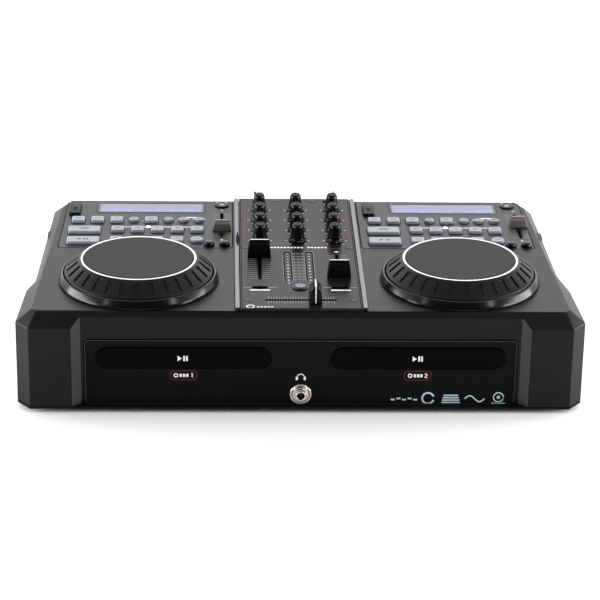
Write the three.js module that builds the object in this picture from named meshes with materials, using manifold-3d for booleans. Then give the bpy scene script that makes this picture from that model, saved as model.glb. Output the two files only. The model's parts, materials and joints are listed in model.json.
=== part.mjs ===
// A two-deck disc workstation: a moulded case with a mixer plate in the middle, and on each side a
// jog wheel, a control panel and a front-loading disc tray.
// Millimetres. +X is the user's right, -Y faces the user, +Z is up. The origin is the middle of the
// footprint, on the surface that the feet stand on.
import * as THREE from "three";
import { mergeVertices } from "three/addons/utils/BufferGeometryUtils.js";
import Module from "manifold-3d";

const wasm = await Module();
wasm.setup();

// ---- Driving sizes: case ----
const bodyWidth = 520;
const bodyDepth = 302;
const footHeight = 4;
const floorThickness = 2;
const caseHeight = 93.4; // underside of the floor to the top of the deck
const chamferHeight = 13; // sloping band round the deck
const wallThickness = 2.5;
const deckThickness = 3;
const seatGap = 0.3; // between pieces that sit against each other
const slideGap = 0.5; // round pieces that move through an opening

const frontCornerX = 12.4; // cut across each front corner
const frontCornerY = 15;
const shoulderLength = 88; // wide front part of each side
const shoulderTaper = 4.6;
const waistY = 111; // where the side has stepped in
const waistInset = 11.5;
const rearInset = 18;
const rearCornerX = 14;
const rearCornerY = 9;
const deckFrontSetback = 10.7; // how far the deck's edge lies inside the case outline
const deckFrontCornerX = 4.4;
const deckSideSetback = 14.8;
const deckSideTaper = 13.5;
const deckRearSetback = 10.3;
const deckRearCornerX = 8;
const deckRearCornerY = 15.7;

const recessPillar = 51; // corner pillar between the case's side and the front recess
const recessReveal = 8;
const recessDepth = 7;
const fasciaMargin = 3.5; // from the recess's inner corner to the fascia
const fasciaBrow = 7.75; // fascia above the tray fronts
const fasciaCorner = 4;
const fasciaBeadWidth = 1.2;
const frontLipRise = 2; // floor to the underside of the bead
const fasciaThickness = 2.6;
const fasciaBead = 0.8;
const sideLugSetback = 89.5; // from the rear of the case
const sideLugLength = 30;
const sideLugDrop = 5;
const sideLugReach = 2;
const sideLugWidth = 9;

// ---- Driving sizes: rear connector bay ----
const bayMargin = 48; // from the case's side
const bayBrow = 9.4; // below the sloping band
const bayDepth = 10;
const rearWallThickness = 2;
const phonoCentreX = -60;
const phonoCentreZ = 38;
const phonoPitchX = 20;
const phonoPitchZ = 17;
const phonoColumns = 4;
const phonoRadius = 4.1;
const phonoBore = 1.6;
const phonoReach = 8;
const phonoHousing = 14;
const phonoBoreDepth = 2;
const phonoSides = 12;
const inletMargin = 47; // from the bay's side to the inlet's middle
const inletCentreZ = 36;
const inletWidth = 60;
const inletHeight = 30;
const inletCavityWidth = 24;
const inletCavityHeight = 16.5;
const inletCavityDepth = 15;
const inletFace = 2.2;
const inletBodyWidth = 56;
const inletBodyHeight = 26;
const inletBodyDepth = 22;
const pinWidth = 2;
const pinPitch = 7;
const earthRise = 3.5; // earth pin above the socket's middle
const pinDrop = 3; // ends of the pins behind the face
const inletOffset = -14; // socket from the module's centre
const rockerOffset = 17;
const rockerWidth = 12;
const rockerHeight = 18;
const rockerTilt = 8; // degrees
const rockerBayDepth = 11;
const rockerGap = 0.9;
const rockerSink = 0.5; // pivot behind the connector wall's face

// ---- Driving sizes: jog wheels ----
const jogSideMargin = 110; // from the case's side to the wheel's middle
const jogFrontMargin = 0.2; // from the deck's front edge to the collar
const jogTopRadius = 54.4;
const jogRadius = 69.3;
const jogTopHeight = 21.7;
const jogEdgeHeight = 8.9;
const collarGap = 1.1;
const collarWall = 1.4;
const collarRim = 3.2; // flange beyond the collar's wall
const collarRimHeight = 2.6;
const wheelSkin = 2.5;
const wheelFoot = 2; // underside of the wheel above the deck
const spindleDrop = 7; // top of the spindle below the wheel's top
const hubWall = 4;
const hubDrop = 2; // hub below the underside of the deck
const collarFloorDrop = 4.5;
const collarFloor = 1.5;
const collarHeight = 8.2;
const spindleRadius = 4;
const jogSides = 36;

// ---- Driving sizes: disc trays ----
const traySideMargin = 10.6; // from the fascia's side to the tray front
const trayDrop = 31.5; // middle of the tray below the board
const trayLip = 12.6; // tray front beyond the slab, each side
const trayFrontHeight = 20.7;
const trayProud = 1.3;
const trayRim = 7; // slab beyond the disc, each side
const trayFrontRim = 6; // from the tray front to the disc
const trayTail = 24; // slab behind the disc
const traySlabDrop = 2; // middle of the slab below the middle of the front
const traySlabThickness = 8;
const discRadius = 60;
const discRecess = 3;
const discClearance = 1;
const discEye = 17; // opening over the spindle motor
const laserWayWidth = 28;
const laserWayMargin = 8;
const driveWall = 1.5;
const driveHeight = 36;
const driveRise = 3; // middle of the drive above the middle of the tray front
const driveSideRoom = 2;
const driveRearRoom = 2;
const motorRadius = 11;
const sledWidth = 22;
const sledLength = 16;
const sledOffset = 34; // behind the spindle motor
const sledDrop = 1.5; // top of the sled below the slab
const motorDrop = 1;

// ---- Driving sizes: mixer ----
const mixerHalfWidth = 55.5;
const mixerFrontMargin = 10; // from the front of the case
const mixerRearMargin = 10.5;
const mixerRise = 3;
const railWidth = 5;
const railRearGap = 1;
const mixerLedge = 5;
const knobCentreX = 0.6;
const knobPitchX = 36.2;
const knobSetback = 114.7; // front row from the mixer's rear
const knobPitchY = 27.3;
const knobRows = 4;
const knobHeight = 17.6;
const knobFlange = 8.8;
const knobFoot = 7.2;
const knobCrown = 5.4;
const knobSides = 12;
const shaftRadius = 2.9;
const faderX = 37;
const faderReach = 100; // from the mixer's front
const faderTravel = 57;
const faderWidth = 22.3;
const faderDepth = 12;
const faderHeight = 17;
const faderStem = 4;
const stemThickness = 2;
const capCorner = 1.2;
const capDraft = 0.9;
const capRidge = 3.4;
const capLift = 0.6; // above the surface that it slides over
const slotWidth = 3;
const crossfaderReach = 19.9; // from the mixer's front
const crossfaderTravel = 60;
const leftFaderRest = 27;
const rightFaderRest = -24;
const crossfaderRest = 13;
const meterX = 10.3;
const meterReach = 100.5; // from the mixer's front
const meterWidth = 7.8;
const meterLength = 75;
const meterDepth = 1;
const roundButtonReach = 49.2; // from the mixer's front
const roundButtonRadius = 5.4;
const roundButtonFlange = 1.4;
const roundButtonPlate = 0.6;
const roundButtonRise = 2.4;
const roundBezelRadius = 7.3;
const roundBezelHeight = 1.2;
const startSwitchX = 37.3;
const startSwitchReach = 49.6; // from the mixer's front
const startSlotWidth = 14;
const startSlotDepth = 5;
const startKnobWidth = 6;
const startKnobHeight = 2.6;
const startKnobCorner = 0.8;
const toggleX = 35.5;
const toggleSetback = 8.5; // from the mixer's rear
const toggleLength = 12.8;
const toggleLean = 14; // degrees
const togglePivotDrop = 5;
const toggleRadius = 2.1;
const toggleSlotLength = 13;
const toggleSlotDepth = 5.7;

// ---- Driving sizes: control panels. x is from a panel's middle, and y from its rear edge ----
const panelRailGap = 1.7; // from the rail beside the mixer
const panelSideMargin = 29.5; // from the case's side
const panelOuterTaper = 3.6;
const panelJogGap = 3.6; // behind the jog collar
const panelRearMargin = 12.5; // from the rear of the case
const panelRearCornerX = 5.4;
const panelRearCornerY = 10.5;
const panelCornerRadius = 5;
const panelThickness = 1.5;
const panelLedge = 1;
const keyWidth = 13;
const keyDepth = 13;
const keyRise = 3;
const keyDraft = 0.9;
const roundKeyRadius = 4.75;
const webThickness = 1.2;
const webMargin = 0.6;
const keyFlange = 0.6;
const armWidth = 4;
const bigKeyWidth = 31.8;
const bigKeyDepth = 16;
const bigKeyX = -60.6;
const cueY = -81.5;
const playY = -109.5;
const displayX = 2.9;
const displayY = -17.1;
const displayWidth = 108;
const displayDepth = 29;
const displayThickness = 1.8;
const displayFrame = 2.2;
const glassDrop = 0.4; // window below its frame
const ejectX = -72.6;
const ejectY = -25.5;
const ejectWidth = 10.8;
const ejectDepth = 30;
const ejectRise = 3.4;
const pitchX = 73.7;
const pitchY = -64.5;
const pitchTravel = 60;
const pitchCapWidth = 18;
const pitchCapDepth = 12;
const pitchCapHeight = 10.5;
const leftPitchRest = -12.5;
const bendX = 69;
const bendPitch = 14.9;
const bendReach = 7.1; // from the panel's front edge
const bendRadius = 5.1;
const longRowPitch = 19.45;
const longRowGap = 5.55; // from the last key to the middle of the nearer bend button
const bendRise = 5;
const leftModeKeyX = 73.7;
const rightModeKeyX = 68.4;
const modeKeyY = -11.5;
const modeKeyRadius = 7;
const modeKeyRise = 1.6;

// ---- Driving sizes: electronics and feet ----
const boardThickness = 1.6;
const boardDrop = 13.4; // underside of the board below the deck
const boardSideMargin = 9.5; // inside the mixer plate's side
const boardFrontMargin = 11;
const boardRearMargin = 12.5;
const wingSideMargin = 2.5; // inside a control panel's outer side
const wingFrontMargin = 4.5;
const boardPostWidth = 6;
const boardPostReach = 41; // from each end of the mixer plate
const boardPostGap = 8.3; // from a disc drive to the middle of a post
const potHeight = 7.4;
const potWidth = 9;
const turnPotWidth = 11;
const potEnds = 12; // length of a slide control beyond its travel
const footRadius = 10;
const footSideMargin = 55;
const footFrontMargin = 39;
const footRearMargin = 43;
const supplySideMargin = 110;
const supplyRearMargin = 73;
const supplyWidth = 90;
const supplyDepth = 84;
const supplyLeg = 6;
const supplyLegHeight = 3;
const transformerWidth = 42;
const transformerDepth = 46;
const transformerHeight = 34;
const capacitorRadius = 9;
const capacitorHeight = 26;
const heatSinkWidth = 50;
const heatSinkDepth = 8;
const heatSinkHeight = 20;
const jackRadius = 10.3;
const jackBarrelRadius = 5.2;
const jackBore = 3.5;
const jackNeck = 6.2;
const jackRing = 2.2;
const jackSides = 20;
const jackReach = 6.2;
const jackFloor = 3;
const jackLength = 24;
const through = 1; // how far a cutting tool reaches past what it cuts
const bite = 0.5; // how far joined shapes reach into each other

// ---- Levels and edges that follow from the driving sizes ----
const halfWidth = bodyWidth / 2;
const frontY = -bodyDepth / 2;
const rearY = bodyDepth / 2;
const floorTop = footHeight + floorThickness;
const deckTop = footHeight + caseHeight;
const beltZ = deckTop - chamferHeight;
const deckUnder = deckTop - deckThickness;
const mixerTop = deckTop + mixerRise;
const recessPlaneY = frontY + recessDepth;
const bayPlaneY = rearY - bayDepth;
const recessHalfWidth = halfWidth - recessPillar;
const fasciaHalfWidth = recessHalfWidth - recessReveal - fasciaMargin;
const bayHalfWidth = halfWidth - bayMargin;
const bayTop = beltZ - bayBrow;
const inletCentreX = bayHalfWidth - inletMargin;
const collarInner = jogRadius + collarGap;
const collarTube = collarInner + collarWall;
const collarFlange = collarTube + collarRim;
const jogCentreX = halfWidth - jogSideMargin;
const jogCentreY = frontY + deckFrontSetback + jogFrontMargin + collarFlange;
const mixerFrontY = frontY + mixerFrontMargin;
const mixerRearY = rearY - mixerRearMargin;
const knobFrontY = mixerRearY - knobSetback;
const faderY = mixerFrontY + faderReach;
const crossfaderY = mixerFrontY + crossfaderReach;
const meterY = mixerFrontY + meterReach;
const roundButtonY = mixerFrontY + roundButtonReach;
const startSwitchY = mixerFrontY + startSwitchReach;
const toggleY = mixerRearY - toggleSetback;
const railInner = mixerHalfWidth + seatGap;
const railOuter = railInner + railWidth;
const panelInnerX = railOuter + panelRailGap;
const panelOuterX = halfWidth - panelSideMargin;
const panelFrontY = jogCentreY + collarFlange + panelJogGap;
const panelRearY = rearY - panelRearMargin;
const panelCentreX = (panelInnerX + panelOuterX) / 2;
const bendY = panelFrontY + bendReach - panelRearY;
const longRowFirst = bendX - bendPitch / 2 - longRowGap - keyWidth / 2 - 4 * longRowPitch;
const boardZ = deckTop - boardDrop;
const panelUnder = deckTop - panelThickness;
const webTop = panelUnder - seatGap;
const boardTop = boardZ + boardThickness;
const potTop = boardTop + potHeight;
const stemFoot = potTop - faderStem;
const trayCentreZ = boardZ - trayDrop;
const traySlabWidth = 2 * (discRadius + trayRim);
const traySlabLength = trayFrontRim + 2 * discRadius + trayTail;
const traySlabTop = traySlabThickness / 2 - traySlabDrop;
const traySlabBottom = traySlabTop - traySlabThickness;
const trayFrontWidth = traySlabWidth + 2 * trayLip;
const trayCentreX = fasciaHalfWidth - traySideMargin - trayFrontWidth / 2;
const driveHalfWidth = traySlabWidth / 2 + slideGap + driveSideRoom + driveWall;
const fasciaTop = trayCentreZ + trayFrontHeight / 2 + fasciaBrow;
const trayFrontY = recessPlaneY - trayProud;
const trayBack = recessPlaneY + fasciaThickness + slideGap;
const discCentreY = trayBack + trayFrontRim + discRadius;
const jackCentreZ = floorTop + jackRadius + slideGap;
const keyTop = deckTop + keyRise;

// ---- Outlines: arrays of points, anticlockwise seen from +Z ----
const point = (x, y) => new THREE.Vector2(x, y);

function mirroredOutline(rightSide) {
  const leftSide = rightSide.map((p) => point(-p.x, p.y)).reverse();
  return [...rightSide, ...leftSide];
}

function movedOutline(outline, x, y) {
  return outline.map((p) => point(p.x + x, p.y + y));
}

// Each edge moves inwards by the distance, and neighbouring edges meet again where they cross.
function insetOutline(outline, distance) {
  const count = outline.length;
  return outline.map((p, i) => {
    const before = p.clone().sub(outline[(i + count - 1) % count]).normalize();
    const after = outline[(i + 1) % count].clone().sub(p).normalize();
    const bisector = point(-before.y - after.y, before.x + after.x).normalize();
    const reach = distance / bisector.dot(point(-before.y, before.x));
    return p.clone().addScaledVector(bisector, reach);
  });
}

function roundedOutline(width, depth, radius, steps) {
  const corners = [
    [width / 2 - radius, -depth / 2 + radius, -90],
    [width / 2 - radius, depth / 2 - radius, 0],
    [-width / 2 + radius, depth / 2 - radius, 90],
    [-width / 2 + radius, -depth / 2 + radius, 180],
  ];
  return corners.flatMap(([x, y, start]) =>
    Array.from({ length: steps + 1 }, (_, i) => {
      const angle = THREE.MathUtils.degToRad(start + (90 * i) / steps);
      return point(x + radius * Math.cos(angle), y + radius * Math.sin(angle));
    }),
  );
}

function rectangleOutline(width, depth) {
  return [
    point(-width / 2, -depth / 2),
    point(width / 2, -depth / 2),
    point(width / 2, depth / 2),
    point(-width / 2, depth / 2),
  ];
}

function stadiumOutline(width, height, steps = 8) {
  const long = width > height;
  const radius = (long ? height : width) / 2;
  const half = (long ? width : height) / 2 - radius;
  return Array.from({ length: 2 * steps + 2 }, (_, i) => {
    const side = i <= steps ? 1 : -1;
    const step = i <= steps ? i : i - steps - 1;
    const angle = (side > 0 ? -0.5 : 0.5) * Math.PI + (Math.PI * step) / steps;
    const along = side * half + radius * Math.cos(angle);
    const across = radius * Math.sin(angle);
    return long ? point(along, across) : point(-across, along);
  });
}

function roundOutline(radius, sides) {
  return Array.from({ length: sides }, (_, i) => {
    const angle = (2 * Math.PI * i) / sides;
    return point(radius * Math.cos(angle), radius * Math.sin(angle));
  });
}

// The case outline at the belt, front to rear.
function beltOutline() {
  return mirroredOutline([
    point(halfWidth - frontCornerX, frontY),
    point(halfWidth, frontY + frontCornerY),
    point(halfWidth - shoulderTaper, frontY + shoulderLength),
    point(halfWidth - waistInset, frontY + waistY),
    point(halfWidth - rearInset, rearY - rearCornerY),
    point(halfWidth - rearInset - rearCornerX, rearY),
  ]);
}

// The edge of the flat deck, with a point for each point of the belt.
function deckOutline() {
  const sideFrontX = halfWidth - deckSideSetback;
  const sideFrontY = frontY + frontCornerY;
  const sideRearY = rearY - deckRearSetback - deckRearCornerY;
  const sideX = (y) =>
    sideFrontX - (deckSideTaper * (y - sideFrontY)) / (sideRearY - sideFrontY);
  return mirroredOutline([
    point(sideFrontX - deckFrontCornerX, frontY + deckFrontSetback),
    point(sideFrontX, sideFrontY),
    point(sideX(frontY + shoulderLength), frontY + shoulderLength),
    point(sideX(frontY + waistY), frontY + waistY),
    point(sideX(sideRearY), sideRearY),
    point(sideX(sideRearY) - deckRearCornerX, rearY - deckRearSetback),
  ]);
}

// The right-hand control panel: its outer edge runs with the case, and its front corners are round.
function panelOutline() {
  const outerRearX = panelOuterX - panelOuterTaper;
  const corner = 0.3 * panelCornerRadius;
  return [
    point(panelInnerX, panelFrontY + panelCornerRadius),
    point(panelInnerX + corner, panelFrontY + corner),
    point(panelInnerX + panelCornerRadius, panelFrontY),
    point(panelOuterX - panelCornerRadius, panelFrontY),
    point(panelOuterX - corner, panelFrontY + corner),
    point(panelOuterX, panelFrontY + panelCornerRadius),
    point(outerRearX, panelRearY - panelRearCornerY),
    point(outerRearX - panelRearCornerX, panelRearY),
    point(panelInnerX, panelRearY),
  ];
}

// ---- Solids ----
function solidOf(shape) {
  if (shape instanceof wasm.Manifold) {
    return shape;
  }
  const plain = shape.clone();
  plain.deleteAttribute("normal");
  plain.deleteAttribute("uv");
  const merged = mergeVertices(plain, 1e-4);
  const index = merged.index.array;
  const triVerts = [];
  for (let i = 0; i < index.length; i += 3) {
    const [a, b, c] = [index[i], index[i + 1], index[i + 2]];
    if (a !== b && b !== c && c !== a) {
      triVerts.push(a, b, c);
    }
  }
  return new wasm.Manifold(
    new wasm.Mesh({
      numProp: 3,
      vertProperties: merged.attributes.position.array,
      triVerts: new Uint32Array(triVerts),
    }),
  );
}

function join(...shapes) {
  return shapes.map(solidOf).reduce((whole, next) => whole.add(next));
}

function cut(shape, ...tools) {
  return tools.map(solidOf).reduce((whole, tool) => whole.subtract(tool), solidOf(shape));
}

function geometryOf(shape) {
  const mesh = solidOf(shape).getMesh();
  const positions = new Float32Array(mesh.numVert * 3);
  for (let i = 0; i < mesh.numVert; i += 1) {
    const start = i * mesh.numProp;
    positions.set(mesh.vertProperties.subarray(start, start + 3), i * 3);
  }
  const geometry = new THREE.BufferGeometry();
  geometry.setAttribute("position", new THREE.BufferAttribute(positions, 3));
  geometry.setIndex(new THREE.BufferAttribute(mesh.triVerts, 1));
  return geometry;
}

// A closed skin through outlines with equal numbers of points, from the lowest level to the highest.
function loft(...rings) {
  const positions = [];
  const put = (ring, i) => {
    const p = ring.outline[i % ring.outline.length];
    positions.push(p.x, p.y, ring.z);
  };
  for (let level = 0; level + 1 < rings.length; level += 1) {
    const [low, high] = [rings[level], rings[level + 1]];
    for (let i = 0; i < low.outline.length; i += 1) {
      put(low, i);
      put(low, i + 1);
      put(high, i + 1);
      put(low, i);
      put(high, i + 1);
      put(high, i);
    }
  }
  const [first, last] = [rings[0], rings[rings.length - 1]];
  for (const [a, b, c] of THREE.ShapeUtils.triangulateShape(first.outline, [])) {
    put(first, c);
    put(first, b);
    put(first, a);
  }
  for (const [a, b, c] of THREE.ShapeUtils.triangulateShape(last.outline, [])) {
    put(last, a);
    put(last, b);
    put(last, c);
  }
  const geometry = new THREE.BufferGeometry();
  geometry.setAttribute("position", new THREE.Float32BufferAttribute(positions, 3));
  return geometry;
}

function prism(outline, bottomZ, topZ) {
  return loft({ outline, z: bottomZ }, { outline, z: topZ });
}

// The outline's y becomes z, and the prism runs from nearY back to farY.
function uprightPrism(outline, nearY, farY) {
  return prism(outline, -farY, -nearY).rotateX(Math.PI / 2);
}

function block(x0, x1, y0, y1, z0, z1) {
  const geometry = new THREE.BoxGeometry(x1 - x0, y1 - y0, z1 - z0);
  return geometry.translate((x0 + x1) / 2, (y0 + y1) / 2, (z0 + z1) / 2);
}

function centredBlock(x, y, width, depth, z0, z1) {
  return block(x - width / 2, x + width / 2, y - depth / 2, y + depth / 2, z0, z1);
}

function post(x, y, radius, z0, z1, sides) {
  return prism(movedOutline(roundOutline(radius, sides), x, y), z0, z1);
}

function crosswisePost(x, z, radius, nearY, farY, sides) {
  return uprightPrism(movedOutline(roundOutline(radius, sides), x, z), nearY, farY);
}

// A [radius, height] profile from axis to axis, turned round Z.
function turned(profile, sides) {
  const points = profile.map(([radius, height]) => point(radius, height));
  const path = THREE.ShapeUtils.isClockWise(points) ? points.reverse() : points;
  return new THREE.LatheGeometry(path, sides).rotateX(Math.PI / 2);
}

// ---- Scene graph ----
const workstation = new THREE.Group();

function addPart(name, shape, look, place = [0, 0, 0], parent = workstation) {
  const material = new THREE.MeshStandardMaterial({
    color: look.color,
    roughness: look.roughness,
    metalness: look.metalness ?? 0,
  });
  const mesh = new THREE.Mesh(geometryOf(shape), material);
  mesh.name = name;
  mesh.position.set(...place);
  parent.add(mesh);
  return mesh;
}

const looks = {
  caseShell: { color: 0x3a393d, roughness: 0.5, metalness: 0.2 },
  steelBase: { color: 0x1c1b1e, roughness: 0.5, metalness: 0.6 },
  fascia: { color: 0x121114, roughness: 0.55 },
  panel: { color: 0x5b5a5e, roughness: 0.45, metalness: 0.3 },
  display: { color: 0x8f94c8, roughness: 0.15 },
  glossBlack: { color: 0x0b0b0c, roughness: 0.15 },
  gripRubber: { color: 0x1d1c1d, roughness: 0.7 },
  silverKey: { color: 0xa9b0b8, roughness: 0.35, metalness: 0.3 },
  chrome: { color: 0xc8c2ba, roughness: 0.2, metalness: 1 },
  boardGreen: { color: 0x1f4a2c, roughness: 0.5 },
  steel: { color: 0x9a9ca0, roughness: 0.4, metalness: 0.9 },
};

// ---- Case ----
function topShell() {
  const belt = beltOutline();
  const deck = deckOutline();
  const body = loft(
    { outline: belt, z: floorTop + seatGap },
    { outline: belt, z: beltZ },
    { outline: deck, z: deckTop },
  );
  const innerBelt = insetOutline(belt, wallThickness);
  const hollow = loft(
    { outline: innerBelt, z: footHeight },
    { outline: innerBelt, z: beltZ - wallThickness / 2 },
    { outline: insetOutline(deck, wallThickness), z: deckUnder },
  );
  return cut(
    join(cut(body, cut(hollow, recessProfile(wallThickness), bayBox(wallThickness))), rails(), lugs()),
    recessProfile(0),
    bayBox(0),
    fasciaOpening(seatGap),
    bayOpening(seatGap),
    mixerOpening(),
    ...[-1, 1].flatMap((side) => [jogWell(side), panelPocket(side), panelOpening(side)]),
  );
}

// The recess in front, with reveals that slope in, grown by a wall where it is to leave a backing.
function recessProfile(growth) {
  const outer = recessHalfWidth + growth;
  const inner = outer - recessReveal;
  const outline = [
    point(-outer - (through * recessReveal) / recessDepth, frontY - through),
    point(outer + (through * recessReveal) / recessDepth, frontY - through),
    point(inner, recessPlaneY + growth),
    point(-inner, recessPlaneY + growth),
  ];
  return prism(outline, 0, deckTop + through);
}

function bayBox(growth) {
  const half = bayHalfWidth + wallThickness + growth;
  return block(-half, half, bayPlaneY - growth, rearY + through, 0, bayTop + wallThickness + growth);
}

function fasciaFace(growth) {
  const half = fasciaHalfWidth + growth;
  const bottom = floorTop + seatGap - growth;
  const top = fasciaTop + growth;
  const corner = fasciaCorner;
  return [
    point(-half, bottom),
    point(half, bottom),
    point(half, top - corner),
    point(half - corner * 0.3, top - corner * 0.3),
    point(half - corner, top),
    point(-half + corner, top),
    point(-half + corner * 0.3, top - corner * 0.3),
    point(-half, top - corner),
  ];
}

function fasciaOpening(clearance) {
  return uprightPrism(fasciaFace(clearance), frontY - through, recessPlaneY + wallThickness + through);
}

function bayOpening(clearance) {
  const half = bayHalfWidth - wallThickness;
  return block(
    -half - clearance,
    half + clearance,
    bayPlaneY - wallThickness - through,
    rearY + through,
    0,
    bayTop - wallThickness + clearance,
  );
}

function mixerOpening() {
  const half = mixerHalfWidth - mixerLedge;
  return block(
    -half,
    half,
    mixerFrontY + mixerLedge,
    mixerRearY - mixerLedge,
    deckUnder - through,
    deckTop + through,
  );
}

function jogWell(side) {
  const radius = collarTube + seatGap;
  return post(side * jogCentreX, jogCentreY, radius, deckUnder - through, deckTop + through, jogSides);
}

function sidedOutline(outline, side) {
  return side > 0 ? outline : outline.map((p) => point(-p.x, p.y)).reverse();
}

function panelPocket(side) {
  const outline = insetOutline(sidedOutline(panelOutline(), side), -seatGap);
  return prism(outline, panelUnder - seatGap, deckTop + through);
}

function panelOpening(side) {
  const outline = insetOutline(sidedOutline(panelOutline(), side), panelLedge);
  return prism(outline, deckUnder - through, deckTop);
}

// Two raised strips that flank the mixer plate, with their front outer corners cut off.
function rails() {
  const farY = mixerRearY - railRearGap;
  const outline = [
    point(railInner, mixerFrontY + railWidth / 2),
    point(railOuter, mixerFrontY + 2 * railWidth),
    point(railOuter, farY),
    point(railInner, farY),
  ];
  const right = prism(outline, deckTop - bite, mixerTop);
  const left = prism(sidedOutline(outline, -1), deckTop - bite, mixerTop);
  return join(right, left);
}

// A small wedge on the slope of each side.
function lugs() {
  const outer = halfWidth - rearInset + sideLugReach;
  const inner = outer - sideLugWidth;
  const middle = rearY - sideLugSetback;
  const outline = [
    point(inner, middle - sideLugLength / 2),
    point(outer, middle),
    point(outer, middle + sideLugLength / 2),
    point(inner, middle + sideLugLength / 2),
  ];
  const right = prism(outline, beltZ - sideLugDrop, beltZ + sideLugDrop);
  const left = prism(sidedOutline(outline, -1), beltZ - sideLugDrop, beltZ + sideLugDrop);
  return join(right, left);
}

function phonoPlaces() {
  const places = [];
  for (let column = 0; column < phonoColumns; column += 1) {
    for (const row of [-0.5, 0.5]) {
      const x = phonoCentreX + (column - (phonoColumns - 1) / 2) * phonoPitchX;
      places.push([x, phonoCentreZ + row * phonoPitchZ]);
    }
  }
  return places;
}

function baseChassis() {
  const floor = prism(beltOutline(), footHeight, floorTop);
  const wallFarY = bayPlaneY - seatGap;
  const wallNearY = wallFarY - rearWallThickness;
  const half = bayHalfWidth - wallThickness - seatGap;
  const rearWall = block(-half, half, wallNearY, wallFarY, floorTop - bite, bayTop - wallThickness);
  const postX = trayCentreX - driveHalfWidth - boardPostGap;
  const boardPosts = [-postX, postX].flatMap((x) =>
    [mixerFrontY + boardPostReach, mixerRearY - boardPostReach].map((y) =>
      centredBlock(x, y, boardPostWidth, boardPostWidth, floorTop - bite, boardZ - seatGap),
    ),
  );
  const phonoHoles = phonoPlaces().map(([x, z]) =>
    crosswisePost(x, z, phonoRadius + seatGap, wallNearY - through, wallFarY + through, phonoSides),
  );
  const inletCut = inletBlock(
    inletBodyWidth,
    inletBodyHeight,
    seatGap,
    wallNearY - through,
    wallFarY + through,
  );
  return cut(join(floor, rearWall, ...boardPosts), ...phonoHoles, inletCut);
}

function frontFascia() {
  const farY = recessPlaneY + fasciaThickness;
  const face = fasciaFace(0);
  const plate = uprightPrism(face, recessPlaneY, farY);
  const rim = cut(
    uprightPrism(face, recessPlaneY - fasciaBead, recessPlaneY + bite),
    uprightPrism(insetOutline(face, fasciaBeadWidth), frontY, farY),
    block(-halfWidth, halfWidth, frontY, farY, 0, floorTop + frontLipRise),
  );
  const traySlots = [-1, 1].map((side) =>
    uprightPrism(
      movedOutline(
        stadiumOutline(trayFrontWidth + 2 * slideGap, trayFrontHeight + 2 * slideGap),
        side * trayCentreX,
        trayCentreZ,
      ),
      frontY,
      farY + through,
    ),
  );
  const jackHole = crosswisePost(0, jackCentreZ, jackNeck + seatGap, frontY, farY + through, jackSides);
  return cut(join(plate, rim), ...traySlots, jackHole);
}

function foot() {
  const height = footHeight - seatGap;
  return turned(
    [
      [0, 0],
      [footRadius - 1.5, 0],
      [footRadius, 1.2],
      [footRadius - 0.8, height],
      [0, height],
    ],
    20,
  );
}

// ---- Jog wheels: a collar with a spindle, and a wheel that turns on it. Heights are from the deck ----
function jogCollar() {
  const floorUnder = -deckThickness - collarFloorDrop;
  const floorUpper = floorUnder + collarFloor;
  const spindleTop = jogTopHeight - spindleDrop;
  return turned(
    [
      [0, floorUnder],
      [collarTube, floorUnder],
      [collarTube, seatGap],
      [collarFlange, seatGap],
      [collarFlange, collarRimHeight],
      [collarTube, collarHeight],
      [collarInner, collarHeight],
      [collarInner, floorUpper],
      [spindleRadius, floorUpper],
      [spindleRadius, spindleTop],
      [0, spindleTop],
    ],
    jogSides,
  );
}

function jogWheel() {
  const bore = spindleRadius + seatGap;
  const hub = bore + hubWall;
  const hubFoot = -deckThickness - hubDrop;
  const boreTop = jogTopHeight - spindleDrop + slideGap;
  return turned(
    [
      [0, jogTopHeight],
      [jogTopRadius, jogTopHeight],
      [jogRadius, jogEdgeHeight],
      [jogRadius, wheelFoot],
      [jogRadius - wheelSkin, wheelFoot],
      [jogRadius - wheelSkin, jogEdgeHeight - wheelSkin],
      [jogTopRadius - wheelSkin, jogTopHeight - wheelSkin],
      [hub, jogTopHeight - wheelSkin],
      [hub, hubFoot],
      [bore, hubFoot],
      [bore, boreTop],
      [0, boreTop],
    ],
    jogSides,
  );
}

// ---- Disc trays and their drives. x and z are from the tray's middle ----
function discTray() {
  const slabFar = trayBack + traySlabLength;
  const bezel = uprightPrism(stadiumOutline(trayFrontWidth, trayFrontHeight), trayFrontY, trayBack);
  const slab = block(
    -traySlabWidth / 2,
    traySlabWidth / 2,
    trayBack - bite,
    slabFar,
    traySlabBottom,
    traySlabTop,
  );
  const low = traySlabBottom - through;
  const high = traySlabTop + through;
  const dish = post(0, discCentreY, discRadius + discClearance, traySlabTop - discRecess, high, 36);
  const eye = post(0, discCentreY, discEye, low, high, 16);
  const laserWay = block(
    -laserWayWidth / 2,
    laserWayWidth / 2,
    discCentreY,
    slabFar - laserWayMargin,
    low,
    high,
  );
  return cut(join(bezel, slab), dish, eye, laserWay);
}

function discDrive() {
  const near = trayBack + driveRearRoom;
  const far = near + traySlabLength + driveRearRoom + driveWall + slideGap;
  const half = driveHalfWidth;
  const bottom = driveRise - driveHeight / 2;
  const top = bottom + driveHeight;
  const can = block(-half, half, near, far, bottom, top);
  const inside = block(
    -half + driveWall,
    half - driveWall,
    near - through,
    far - driveWall,
    bottom + driveWall,
    top - driveWall,
  );
  const foot = bottom + driveWall - bite;
  const motor = post(0, discCentreY, motorRadius, foot, traySlabBottom - motorDrop, 16);
  const sled = centredBlock(
    0,
    discCentreY + sledOffset,
    sledWidth,
    sledLength,
    foot,
    traySlabBottom - sledDrop,
  );
  return join(cut(can, inside), motor, sled);
}

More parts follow.
